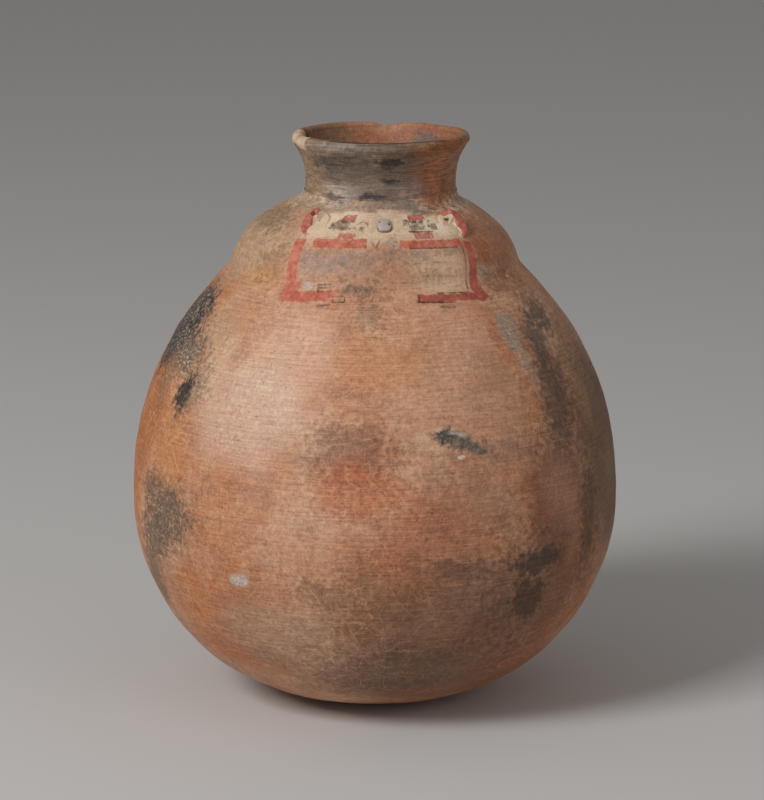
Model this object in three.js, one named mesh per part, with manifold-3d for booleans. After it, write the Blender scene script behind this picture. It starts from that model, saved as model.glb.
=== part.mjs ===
// A coil-built earthenware storage jar with a pierced-eared face on its shoulder.
// The body was raised in stages on a bowl-shaped base, so each stage is a ring of wall that stands on
// the level top edge of the one below. The neck collar, its luting coil, the rim coil, two ears and a
// nose were added afterwards. Millimetres, +Z up, origin at the middle of the face that it rests on;
// the face on the shoulder looks towards -Y.

import * as THREE from 'three';
import { mergeVertices } from 'three/addons/utils/BufferGeometryUtils.js';
import Module from 'manifold-3d';

const wasm = await Module();
wasm.setup();

// Body
const restRadius = 45;
const bellyRadius = 210.5;
const bellyHeight = 175;
const creaseRadius = 124.5;
const bellyToCrease = 205;
const bodyWall = 9;
const floorThickness = 10;
// Exponents of the two superellipse outlines that meet at the belly: higher is fuller
const lowerOutline = { radial: 2.57, vertical: 1.86 };
const upperOutline = { radial: 1.145, vertical: 2.27 };

// Building stages of the body: the base bowl's height, and how much of the upper wall is the last stage
const baseBowlHeight = 62;
const shoulderWallHeight = 95;

// Shoulder dome: part of an ellipse whose widest level lies a little under the crease. It ends where
// the luting coil's foot does
const domeHeight = 52;
const domeWidestUnderCrease = 5;

// Neck
const neckHeight = 60.5;
const neckWaistRadius = 64.8;
const neckWaistAboveFoot = 20.5;
const neckFootRadius = 68;
const neckWall = 8;
const neckSidewaysLean = 5.2;
const leanStartsUnderNeck = 17;
const leanEndsAboveNeckFoot = 13;

// Coil pressed into the corner between the neck and the dome: how far its foot and its top edge stand
// out from the neck, and how hollow its face is
const lutingCoilHeight = 11;
const lutingCoilFoot = 10.8;
const lutingCoilEdge = 1.5;
const lutingCoilHollow = 2.2;

// Rim
const lipRadius = 76;
const lipThickness = 10;
const rimCoilHeight = 12.5;
const lipStartAngle = -45;
const lipEndAngle = 180;

// Worn chip in the crest at the back of the rim
const chipWidth = 25;
const chipDepth = 2.4;
const chipAzimuth = 176;

// Plaster that fills a lost piece of the lip
const fillAzimuth = -80;
const fillHalfWidth = 27;
const fillLowCorner = 1;
const fillHighCorner = 7;
const fillKink = { along: 0.35, up: 4.6 };

// Face on the shoulder: azimuths are turned from -Y towards +X
const faceAzimuth = 4;
// The two ears were set by hand. A hole lies that far from the ear's centre, away from the face and up
const ears = {
  left: { side: -1, azimuth: -32.75, underNeck: 8.5, hole: { away: 4, up: 10 } },
  right: { side: 1, azimuth: 42.75, underNeck: 10.5, hole: { away: -2.5, up: 8 } },
};
// Half sizes of an ear's outline, and the width of its band at angles from the side away from the face
const earHalfWidth = 11.5;
const earUpperHalf = 15.5;
const earLowerHalf = 13;
const earBand = [[-70, 3], [-40, 6], [0, 9], [45, 9], [107, 9.5], [140, 7]];
const earProud = 4.5;
const earFaceTilt = 35;
const earHoleRadius = 1.7;
const noseUnderNeck = 6.5;
const noseWidth = 14.5;
const noseLength = 17;
const noseProud = 4;
const noseTopTaper = 0.7;
const edgeRounding = 1;

// What was pressed on keeps a hairline from the wall that it sits on
const seatGap = 0.3;
// Its blank reaches into the wall by this many times its proud height before the wall is cut away
const blankDepth = 4;

// Facets
const turnSegments = 60;
const lowerSteps = 9;
const upperSteps = 10;
const domeSteps = 7;
const coilSteps = 4;
const neckSteps = 7;
const lipSteps = 10;
const earSteps = 14;
const noseSteps = 8;
const bevelSteps = 2;
const boreSides = 16;
const chipBallSegments = [36, 24];
// Outline points nearer than this to a level cut are left out, so that no facet is a sliver
const shortestStep = 0.5;
const weldDistance = 1e-4;

const radians = THREE.MathUtils.degToRad;
const creaseHeight = bellyHeight + bellyToCrease;
const neckFoot = creaseHeight + domeHeight;
const lutingTop = neckFoot + lutingCoilHeight;
const jarHeight = neckFoot + neckHeight;
const rimJoint = jarHeight - rimCoilHeight;
const shoulderJoint = creaseHeight - shoulderWallHeight;

// A list of values from first to last in equal steps
function steps(first, last, count) {
  return Array.from({ length: count + 1 }, (_, i) => first + ((last - first) * i) / count);
}

// Body below the belly: [radius, height] from the edge of the rest face up to the belly
function lowerBelly() {
  const { radial, vertical } = lowerOutline;
  const depth = bellyHeight / (1 - (restRadius / bellyRadius) ** radial) ** (1 / vertical);
  const restAngle = Math.asin((bellyHeight / depth) ** (vertical / 2));
  return steps(restAngle, 0, lowerSteps).map((angle) => [
    bellyRadius * Math.cos(angle) ** (2 / radial),
    bellyHeight - depth * Math.sin(angle) ** (2 / vertical),
  ]);
}

// Body above the belly, up to the crease
function upperBelly() {
  const { radial, vertical } = upperOutline;
  const creaseAngle = Math.acos((creaseRadius / bellyRadius) ** (radial / 2));
  const reach = bellyToCrease / Math.sin(creaseAngle) ** (2 / vertical);
  return steps(0, creaseAngle, upperSteps).map((angle) => [
    bellyRadius * Math.cos(angle) ** (2 / radial),
    bellyHeight + reach * Math.sin(angle) ** (2 / vertical),
  ]);
}

// Dome from the crease to the level that the neck stands on. Its ellipse is as high as it takes to
// pass through the crease and the luting coil's foot
const domeTopRadius = neckFootRadius + lutingCoilFoot;
function dome() {
  const widest = creaseHeight - domeWidestUnderCrease;
  const narrowing = (domeTopRadius / creaseRadius) ** 2;
  const reached = (neckFoot - widest) ** 2 - narrowing * domeWidestUnderCrease ** 2;
  const halfHeight = Math.sqrt(reached / (1 - narrowing));
  const angleAt = (height) => Math.asin((height - widest) / halfHeight);
  const widestRadius = creaseRadius / Math.cos(angleAt(creaseHeight));
  return steps(angleAt(creaseHeight), angleAt(neckFoot), domeSteps).map((angle) => [
    widestRadius * Math.cos(angle),
    widest + halfHeight * Math.sin(angle),
  ]);
}

// Centre of the lip's round, and the point where the round leaves the flare of the neck
const lipRound = lipThickness / 2;
const lipCentre = [lipRadius - lipRound, jarHeight - lipRound];
const lipStart = [
  lipCentre[0] + lipRound * Math.cos(radians(lipStartAngle)),
  lipCentre[1] + lipRound * Math.sin(radians(lipStartAngle)),
];

// Radius of the neck's outer face: two parabolas that meet at the waist
function neckRadiusAt(height) {
  const waist = neckFoot + neckWaistAboveFoot;
  const foot = (neckFootRadius - neckWaistRadius) / neckWaistAboveFoot ** 2;
  const flare = (lipStart[0] - neckWaistRadius) / (lipStart[1] - waist) ** 2;
  return neckWaistRadius + (height < waist ? foot : flare) * (height - waist) ** 2;
}

// Hollow outer face of the luting coil, from the dome up to the coil's top edge
function lutingFace() {
  const topRadius = neckRadiusAt(lutingTop) + lutingCoilEdge;
  return steps(0, 1, coilSteps).map((share) => [
    topRadius + (domeTopRadius - topRadius) * (1 - share) ** lutingCoilHollow,
    neckFoot + lutingCoilHeight * share,
  ]);
}

function neck(from, to, count) {
  return steps(from, to, count).map((height) => [neckRadiusAt(height), height]);
}

// The lip's round, from the outer underside over the crest to the inner face
function lip() {
  return steps(radians(lipStartAngle), radians(lipEndAngle), lipSteps).map((angle) => [
    lipCentre[0] + lipRound * Math.cos(angle),
    lipCentre[1] + lipRound * Math.sin(angle),
  ]);
}

// Moves each point of an outline square to it: outwards for a positive distance
function offset(outline, distanceAt) {
  return outline.map(([radius, height], i) => {
    const before = outline[Math.max(i - 1, 0)];
    const after = outline[Math.min(i + 1, outline.length - 1)];
    const normals = [
      [before, [radius, height]],
      [[radius, height], after],
    ]
      .map(([a, b]) => new THREE.Vector2(b[1] - a[1], a[0] - b[0]))
      .filter((normal) => normal.length() > 0)
      .map((normal) => normal.normalize());
    const middle = normals.reduce((sum, normal) => sum.add(normal), new THREE.Vector2()).normalize();
    const reach = distanceAt(height) / middle.dot(normals[0]);
    return [radius + middle.x * reach, height + middle.y * reach];
  });
}

// The stretch of a rising outline between two levels
function between(outline, low, high) {
  const at = (level) => {
    const i = Math.max(1, outline.findIndex(([, height]) => height >= level));
    const [a, b] = [outline[i - 1], outline[i]];
    const share = (level - a[1]) / (b[1] - a[1]);
    return [a[0] + (b[0] - a[0]) * share, level];
  };
  const inner = outline.filter(([, height]) => (
    height > low + shortestStep && height < high - shortestStep
  ));
  return [at(low), ...inner, at(high)];
}

const belly = [...lowerBelly(), ...upperBelly().slice(1)];
const neckAboveCoil = neck(lutingTop + neckWall / 2, lipStart[1], neckSteps);
const outside = [...belly, ...dome().slice(1), ...lutingFace().slice(1), ...neckAboveCoil];

// The wall thins from the body's to the neck's over the dome
function wallAt(height) {
  return THREE.MathUtils.mapLinear(
    THREE.MathUtils.clamp(height, creaseHeight, neckFoot), creaseHeight, neckFoot, bodyWall, neckWall,
  );
}

const inside = [
  ...offset(outside, (height) => -wallAt(height)).filter(([, height]) => height > floorThickness),
  lip().at(-1),
];
const floorEdge = [inside[0][0] - bodyWall, floorThickness];
inside.unshift(floorEdge);

// The neck was set a little to one side of the body's axis
function lean(height) {
  const from = neckFoot - leanStartsUnderNeck;
  const to = neckFoot + leanEndsAboveNeckFoot;
  return neckSidewaysLean * THREE.MathUtils.smoothstep(height, from, to);
}

// Turns a profile about the vertical axis, then lets it lean with the neck
function turned(profile) {
  const points = profile.map(([radius, height]) => new THREE.Vector2(radius, height));
  const geometry = new THREE.LatheGeometry(points, turnSegments);
  geometry.rotateX(Math.PI / 2);
  const { position } = geometry.attributes;
  for (let i = 0; i < position.count; i += 1) {
    position.setX(i, position.getX(i) + lean(position.getZ(i)));
  }
  return geometry;
}

// A ring of wall: up its outer face, across the top and down its inner face
function ring(outer, inner) {
  return turned([...outer, ...inner.toReversed(), outer[0]]);
}

function wallRing(low, high) {
  return ring(between(outside, low, high), between(inside, low, high));
}

function baseBowl() {
  const outer = between(outside, 0, baseBowlHeight).slice(1);
  const inner = between(inside, floorThickness, baseBowlHeight);
  return turned([[0, 0], [restRadius, 0], ...outer, ...inner.toReversed(), [0, floorThickness]]);
}

// A three.js geometry as a solid for joining and cutting, with its shared vertices merged
function solidOf(geometry) {
  const bare = geometry.clone();
  bare.deleteAttribute('normal');
  bare.deleteAttribute('uv');
  const merged = mergeVertices(bare, weldDistance);
  const corners = merged.index.array;
  const triangles = [];
  for (let i = 0; i < corners.length; i += 3) {
    const [a, b, c] = corners.slice(i, i + 3);
    if (a !== b && b !== c && c !== a) triangles.push(a, b, c);
  }
  return new wasm.Manifold(new wasm.Mesh({
    numProp: 3,
    vertProperties: merged.attributes.position.array,
    triVerts: Uint32Array.from(triangles),
  }));
}

function geometryOf(solid) {
  const mesh = solid.getMesh();
  const geometry = new THREE.BufferGeometry();
  geometry.setAttribute('position', new THREE.BufferAttribute(mesh.vertProperties, 3));
  geometry.setIndex(new THREE.BufferAttribute(mesh.triVerts, 1));
  geometry.computeVertexNormals();
  return geometry;
}

// Unit vectors at an azimuth: outwards, and sideways to the right of someone facing the jar there
function outwardsAt(azimuth) {
  return new THREE.Vector3(Math.sin(radians(azimuth)), -Math.cos(radians(azimuth)), 0);
}

function sidewaysAt(azimuth) {
  return new THREE.Vector3(Math.cos(radians(azimuth)), Math.sin(radians(azimuth)), 0);
}

// Stands a geometry drawn in its own XY plane on the jar: its Z looks outwards, tilted up by a tilt
function stand(geometry, azimuth, tilt, radius, height) {
  const outwards = outwardsAt(azimuth);
  const up = new THREE.Vector3(0, 0, 1);
  const looks = outwards.clone().multiplyScalar(Math.cos(radians(tilt)))
    .addScaledVector(up, Math.sin(radians(tilt)));
  const right = sidewaysAt(azimuth);
  const rises = new THREE.Vector3().crossVectors(looks, right);
  const place = outwards.multiplyScalar(radius).addScaledVector(up, height);
  place.x += lean(height);
  const matrix = new THREE.Matrix4().makeBasis(right, rises, looks).setPosition(place);
  return geometry.applyMatrix4(matrix);
}

// The jar's outside grown by the seat gap, as one filled form that cuts what is pressed onto it
function grownOutside() {
  const grown = offset(outside, () => seatGap).filter(([, height]) => height > bellyHeight);
  const [low, high] = [grown[0][1], grown.at(-1)[1]];
  return solidOf(turned([[0, low], ...grown, [0, high]]));
}

const seat = grownOutside();

function domeAt(height) {
  return between(outside, height, height + 1)[0][0];
}

// How far up the dome's face looks at a level
function domeTilt(height) {
  const rise = 1;
  return THREE.MathUtils.radToDeg(Math.atan2(domeAt(height) - domeAt(height + rise), rise));
}

// Bevelled outline pressed onto the dome so that it stands proud of it by a height
function pressedOn(shape, proud, placed) {
  const sunk = blankDepth * proud;
  const geometry = new THREE.ExtrudeGeometry(shape, {
    depth: sunk,
    bevelThickness: edgeRounding,
    bevelSize: edgeRounding,
    bevelOffset: -edgeRounding,
    bevelSegments: bevelSteps,
  });
  geometry.translate(0, 0, proud - sunk - edgeRounding);
  return solidOf(placed(geometry)).subtract(seat);
}

// Band of an ear at an angle, interpolated between its stated widths
function bandAt(angle) {
  const i = Math.max(1, earBand.findIndex(([to]) => to >= angle));
  const [[a, from], [b, to]] = [earBand[i - 1], earBand[i]];
  return THREE.MathUtils.mapLinear(angle, a, b, from, to);
}

// Crescent ear that curls over at the top, and whose hollow side looks towards the face
function ear(side) {
  const edge = (angle, inwards) => {
    const out = new THREE.Vector2(
      earHalfWidth * Math.cos(radians(angle)),
      (angle > 0 ? earUpperHalf : earLowerHalf) * Math.sin(radians(angle)),
    );
    out.setLength(out.length() - inwards);
    return new THREE.Vector2(side * out.x, out.y);
  };
  const angles = steps(earBand[0][0], earBand.at(-1)[0], earSteps);
  return new THREE.Shape([
    ...angles.map((angle) => edge(angle, 0)),
    ...angles.toReversed().map((angle) => edge(angle, bandAt(angle))),
  ]);
}

// Round bore through the upper part of the ear's band
function earBore({ side, hole }, placed) {
  const length = 4 * earHalfWidth;
  const bore = new THREE.CylinderGeometry(earHoleRadius, earHoleRadius, length, boreSides);
  bore.rotateX(Math.PI / 2);
  bore.translate(side * hole.away, hole.up, 0);
  return solidOf(placed(bore));
}

function piercedEar(its) {
  const height = neckFoot - its.underNeck;
  const placed = (geometry) => stand(geometry, its.azimuth, earFaceTilt, domeAt(height), height);
  return geometryOf(pressedOn(ear(its.side), earProud, placed).subtract(earBore(its, placed)));
}

// Nose: a pellet with a broad foot and a round, narrower top
function nose() {
  const top = (noseWidth / 2) * noseTopTaper;
  const shape = new THREE.Shape([
    new THREE.Vector2(-noseWidth / 2, -noseLength / 2),
    new THREE.Vector2(noseWidth / 2, -noseLength / 2),
    ...steps(0, Math.PI, noseSteps).map((angle) => (
      new THREE.Vector2(top * Math.cos(angle), noseLength / 2 - top + top * Math.sin(angle))
    )),
  ]);
  const height = neckFoot - noseUnderNeck;
  const placed = (geometry) => stand(geometry, faceAzimuth, domeTilt(height), domeAt(height), height);
  return geometryOf(pressedOn(shape, noseProud, placed));
}

// The stretch of the collar's face that the luting coil covers
const collarFoot = neck(neckFoot, lutingTop, coilSteps);

function neckCollar() {
  const face = [...collarFoot, ...neck(lutingTop, rimJoint, neckSteps).slice(1)];
  return ring(face, between(inside, neckFoot, rimJoint));
}

// Ring that fills the corner between dome and collar, a seat gap away from the collar
function lutingCoil() {
  return ring(lutingFace(), collarFoot.map(([radius, height]) => [radius + seatGap, height]));
}

// The rim coil runs from its joint over the lip's crest and down to the joint again
function rimRing() {
  const crest = lip().slice(1);
  const flare = between([...neckAboveCoil, crest[0]], rimJoint, lipStart[1]);
  return ring([...flare, ...crest], between(inside, rimJoint, inside.at(-1)[1]).slice(0, -1));
}

// Prism through the lip where a piece was lost, shrunk by a margin so that the fill clears its edges
function lostPiece(margin) {
  const [left, right] = [-fillHalfWidth + margin, fillHalfWidth - margin];
  const above = rimCoilHeight + lipThickness;
  const shape = new THREE.Shape();
  shape.moveTo(left, above);
  shape.lineTo(left, fillHighCorner + margin);
  shape.lineTo(left * fillKink.along, fillKink.up + margin);
  shape.lineTo(right, fillLowCorner + margin);
  shape.lineTo(right, above);
  const depth = lipRadius / 2;
  const geometry = new THREE.ExtrudeGeometry(shape, { depth, bevelEnabled: false });
  return solidOf(stand(geometry, fillAzimuth, 0, lipRadius - depth / 2, rimJoint));
}

// Ball that scoops the chip out of the crest
function chipBall() {
  const radius = (chipWidth ** 2 / 4 + chipDepth ** 2) / (2 * chipDepth);
  const ball = new THREE.SphereGeometry(radius, ...chipBallSegments);
  return solidOf(stand(ball, chipAzimuth, 0, lipCentre[0], jarHeight - chipDepth + radius));
}

const wholeRim = solidOf(rimRing());

const clay = (color) => new THREE.MeshStandardMaterial({ color, roughness: 0.7, metalness: 0 });
const buffClay = clay(0xb08560);
const smokedClay = clay(0x6a5d52);
const orangeClay = clay(0xa9673f);
const redSlip = clay(0xab5a4e);
const greySlip = clay(0xa79a90);
const plaster = clay(0xd6bea0);

const pieces = {
  base_bowl: [baseBowl(), orangeClay],
  lower_belly_wall: [wallRing(baseBowlHeight, bellyHeight), orangeClay],
  upper_belly_wall: [wallRing(bellyHeight, shoulderJoint), orangeClay],
  shoulder_wall: [wallRing(shoulderJoint, creaseHeight), orangeClay],
  shoulder_dome: [wallRing(creaseHeight, neckFoot), buffClay],
  neck_luting_coil: [lutingCoil(), buffClay],
  neck_collar: [neckCollar(), smokedClay],
  rim_coil: [geometryOf(wholeRim.subtract(lostPiece(0)).subtract(chipBall())), smokedClay],
  rim_fill: [geometryOf(wholeRim.intersect(lostPiece(seatGap))), plaster],
  ear_left: [piercedEar(ears.left), redSlip],
  ear_right: [piercedEar(ears.right), redSlip],
  nose_pellet: [nose(), greySlip],
};

const jar = new THREE.Group();
for (const [name, [geometry, material]] of Object.entries(pieces)) {
  const mesh = new THREE.Mesh(geometry, material);
  mesh.name = name;
  jar.add(mesh);
}

export default jar;
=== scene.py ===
"""Coil-built earthenware storage jar with a pierced-eared, painted face on its shoulder.

The jar was raised in stages on a bowl-shaped base, scraped and wiped by hand, given a collar, a
luting coil and a rolled rim, and then two pierced ears and a nose were pressed on. Every piece here
replaces the CAD node of the same name. Sizes are in millimetres until a mesh is built.
"""

import logging
import math
from dataclasses import dataclass, field, replace
from enum import Enum, IntEnum
from typing import Any

import bpy
import numpy as np
from mathutils import Matrix, Vector


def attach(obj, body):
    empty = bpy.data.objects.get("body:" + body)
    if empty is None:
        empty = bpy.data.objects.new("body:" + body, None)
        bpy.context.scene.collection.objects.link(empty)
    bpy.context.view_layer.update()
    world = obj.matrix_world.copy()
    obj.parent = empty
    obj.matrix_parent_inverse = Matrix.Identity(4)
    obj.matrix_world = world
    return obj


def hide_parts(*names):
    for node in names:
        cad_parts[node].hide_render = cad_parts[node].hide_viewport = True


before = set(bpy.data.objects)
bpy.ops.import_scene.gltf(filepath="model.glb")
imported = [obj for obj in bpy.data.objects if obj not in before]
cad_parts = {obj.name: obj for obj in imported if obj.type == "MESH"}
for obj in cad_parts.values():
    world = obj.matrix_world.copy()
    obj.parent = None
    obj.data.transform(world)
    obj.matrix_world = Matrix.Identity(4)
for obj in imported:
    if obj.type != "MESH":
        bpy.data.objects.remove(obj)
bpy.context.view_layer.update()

LOG = logging.getLogger("storage_jar")
Array = np.ndarray
Span = tuple[float, float]
Triple = tuple[float, float, float]
MILLIMETRE = 0.001
BODY = "root"
# Point layer with the share of slip on a pressed-on piece; below zero it marks painted shade.
SLIP_AND_SHADE_LAYER = "slip"

# Millimetres under which two points of a line count as one, room for rounding in a search along a
# line, and the least length that anything is divided by.
SAME_PLACE = 1e-6
ROUNDING = 1e-9
LEAST_LENGTH = 1e-12


class Slot(Enum):
    """Material slots of the record that the pieces stand for."""

    ORANGE_CLAY = "orange_clay"
    BUFF_CLAY = "buff_clay"
    SMOKED_CLAY = "smoked_clay"
    RED_SLIP = "red_slip"
    GREY_SLIP = "grey_slip"
    FILL_PLASTER = "fill_plaster"


def soft_step(value: Array | float, low: float, high: float) -> Array:
    """Share that values have climbed of a smooth step, from 0 at low to 1 at high."""
    share = np.clip((value - low) / (high - low), 0.0, 1.0)
    return share * share * (3.0 - 2.0 * share)


def linear(code: str) -> tuple[float, float, float, float]:
    """Turns an sRGB hex colour into the linear values that a shader takes.

    Args:
        code: Six hexadecimal digits, such as "c08a5c".

    Returns:
        Linear red, green and blue, and an alpha of 1.
    """
    values = []
    for start in (0, 2, 4):
        part = int(code[start:start + 2], 16) / 255.0
        values.append(part / 12.92 if part <= 0.04045 else ((part + 0.055) / 1.055) ** 2.4)
    return (values[0], values[1], values[2], 1.0)


@dataclass(frozen=True)
class HandWork:
    """Unevenness that building, scraping and wiping by hand leave in a wall.

    Each layer is a wavelength and a height in millimetres, and the lengths of its waves are spread
    about that wavelength. Stretch squeezes the pattern upwards, so that a value over 1 gives level
    ridges, such as wiping leaves.
    """

    seed: int
    layers: tuple[Span, ...]
    stretch: float = 1.0
    waves: int = 26
    spread: Span = (0.7, 1.5)

    def relief(self, points: Array) -> Array:
        """Height of the unevenness at some points.

        Args:
            points: Places in millimetres, with their coordinates in the last axis.

        Returns:
            Millimetres outwards at each place.
        """
        draw = np.random.default_rng(self.seed)
        squeezed = points * np.array([1.0, 1.0, self.stretch])
        height = np.zeros(points.shape[:-1])
        for wavelength, amplitude in self.layers:
            for _ in range(self.waves):
                way = draw.normal(size=3)
                way /= np.linalg.norm(way) * wavelength * draw.uniform(*self.spread)
                phase = draw.uniform(0.0, math.tau)
                height += amplitude * np.cos(math.tau * (squeezed @ way) + phase)
        return height * math.sqrt(2.0 / self.waves)


@dataclass(frozen=True)
class JarOutline:
    """Turned outline of the jar with the sizes of the CAD model, as radius and height."""

    rest_radius: float = 45.0
    belly_radius: float = 210.5
    belly_height: float = 175.0
    lower_radial: float = 2.57
    lower_vertical: float = 1.86
    upper_radial: float = 1.145
    upper_vertical: float = 2.27
    crease_radius: float = 124.5
    crease_height: float = 380.0
    crease_softness: float = 5.0
    body_wall: float = 9.0
    floor_thickness: float = 10.0
    base_bowl_height: float = 62.0
    shoulder_joint: float = 285.0
    dome_widest_under_crease: float = 5.0
    neck_foot: float = 432.0
    neck_foot_radius: float = 68.0
    neck_waist_radius: float = 64.8
    neck_waist_above_foot: float = 20.5
    neck_wall: float = 8.0
    luting_height: float = 11.0
    luting_foot: float = 10.8
    luting_edge: float = 1.5
    luting_hollow: float = 2.2
    rim_joint: float = 480.0
    height: float = 492.5
    lip_radius: float = 76.0
    lip_thickness: float = 10.0
    lip_start_angle: float = -45.0
    sideways_lean: float = 5.2
    lean_start: float = 415.0
    lean_end: float = 445.0
    samples: int = 400
    lip_samples: int = 100

    @property
    def luting_top(self) -> float:
        """Height of the luting coil's top edge."""
        return self.neck_foot + self.luting_height

    @property
    def dome_top_radius(self) -> float:
        """Radius at which the dome meets the luting coil's foot."""
        return self.neck_foot_radius + self.luting_foot

    @property
    def lip_centre(self) -> Span:
        """Centre of the lip's round."""
        half = self.lip_thickness / 2.0
        return (self.lip_radius - half, self.height - half)

    def lip_point(self, angle: float | Array) -> Array:
        """Point of the lip's round.

        Args:
            angle: Degrees, 0 outwards and 90 up.

        Returns:
            Its radius and height.
        """
        turn = np.radians(angle)
        centre = np.array(self.lip_centre)
        return centre + self.lip_thickness / 2.0 * np.stack([np.cos(turn), np.sin(turn)], axis=-1)

    def lower_belly(self) -> Array:
        """Body from the edge of the rest face up to the belly.

        Returns:
            Radius and height points.
        """
        spread = (1.0 - (self.rest_radius / self.belly_radius) ** self.lower_radial)
        depth = self.belly_height / spread ** (1.0 / self.lower_vertical)
        start = math.asin((self.belly_height / depth) ** (self.lower_vertical / 2.0))
        turn = np.linspace(start, 0.0, self.samples)
        radius = self.belly_radius * np.cos(turn) ** (2.0 / self.lower_radial)
        fall = depth * np.sin(turn) ** (2.0 / self.lower_vertical)
        return np.stack([radius, self.belly_height - fall], -1)

    def upper_belly(self) -> Array:
        """Body from the belly up to the crease.

        Returns:
            Radius and height points.
        """
        end = math.acos((self.crease_radius / self.belly_radius) ** (self.upper_radial / 2.0))
        rise = self.crease_height - self.belly_height
        reach = rise / math.sin(end) ** (2.0 / self.upper_vertical)
        turn = np.linspace(0.0, end, self.samples)
        radius = self.belly_radius * np.cos(turn) ** (2.0 / self.upper_radial)
        climb = reach * np.sin(turn) ** (2.0 / self.upper_vertical)
        return np.stack([radius, self.belly_height + climb], -1)

    def dome(self) -> Array:
        """Shoulder dome, an ellipse through the crease and the luting coil's foot.

        Returns:
            Radius and height points.
        """
        under = self.dome_widest_under_crease
        widest = self.crease_height - under
        narrowing = (self.dome_top_radius / self.crease_radius) ** 2
        reached = (self.neck_foot - widest) ** 2 - narrowing * under ** 2
        half_height = math.sqrt(reached / (1.0 - narrowing))
        start = math.asin(under / half_height)
        end = math.asin((self.neck_foot - widest) / half_height)
        turn = np.linspace(start, end, self.samples)
        radius = self.crease_radius / math.cos(start) * np.cos(turn)
        return np.stack([radius, widest + half_height * np.sin(turn)], -1)

    def neck_radius(self, height: Array | float) -> Array:
        """Radius of the neck's outer face: two parabolas that meet at its waist.

        Args:
            height: Heights on the neck.

        Returns:
            The radius at each height.
        """
        waist = self.neck_foot + self.neck_waist_above_foot
        start = self.lip_point(self.lip_start_angle)
        foot = (self.neck_foot_radius - self.neck_waist_radius) / self.neck_waist_above_foot ** 2
        flare = (start[0] - self.neck_waist_radius) / (start[1] - waist) ** 2
        away = np.asarray(height) - waist
        return self.neck_waist_radius + np.where(away < 0.0, foot, flare) * away ** 2

    def luting_face(self) -> Array:
        """Hollow outer face of the luting coil, from the dome up.

        Returns:
            Radius and height points.
        """
        share = np.linspace(0.0, 1.0, self.samples)
        top = float(self.neck_radius(self.luting_top)) + self.luting_edge
        radius = top + (self.dome_top_radius - top) * (1.0 - share) ** self.luting_hollow
        return np.stack([radius, self.neck_foot + self.luting_height * share], -1)

    def neck(self, low: float, high: float) -> Array:
        """Outer face of the neck between two heights."""
        heights = np.linspace(low, high, self.samples)
        return np.stack([self.neck_radius(heights), heights], -1)

    def lean(self, height: Array) -> Array:
        """How far the neck, set a little to one side, shifts each level along +X."""
        return self.sideways_lean * soft_step(height, self.lean_start, self.lean_end)

    def turned(self, radius: Array, height: Array, turn: Array) -> Array:
        """Points at radii, heights and azimuths in radians about the leaning axis."""
        x = np.sin(turn) * radius + self.lean(height)
        return np.stack([x, -np.cos(turn) * radius, height], axis=-1)

    def wall(self, height: Array) -> Array:
        """Wall thickness, which thins over the dome from the body's to the neck's."""
        return np.interp(height, [self.crease_height, self.neck_foot], [self.body_wall, self.neck_wall])


def link(thing: bpy.types.Object) -> None:
    """Puts an object into the scene."""
    bpy.context.scene.collection.objects.link(thing)


def read_along(points: Array, length: Array, wanted: Array) -> Array:
    """Points of a line at other lengths along it."""
    return np.stack([np.interp(wanted, length, points[:, k]) for k in (0, 1)], -1)


def along(points: Array) -> Array:
    """Distance of each point of a line from its first one."""
    return np.concatenate([[0.0], np.cumsum(np.linalg.norm(np.diff(points, axis=0), axis=1))])


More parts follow.
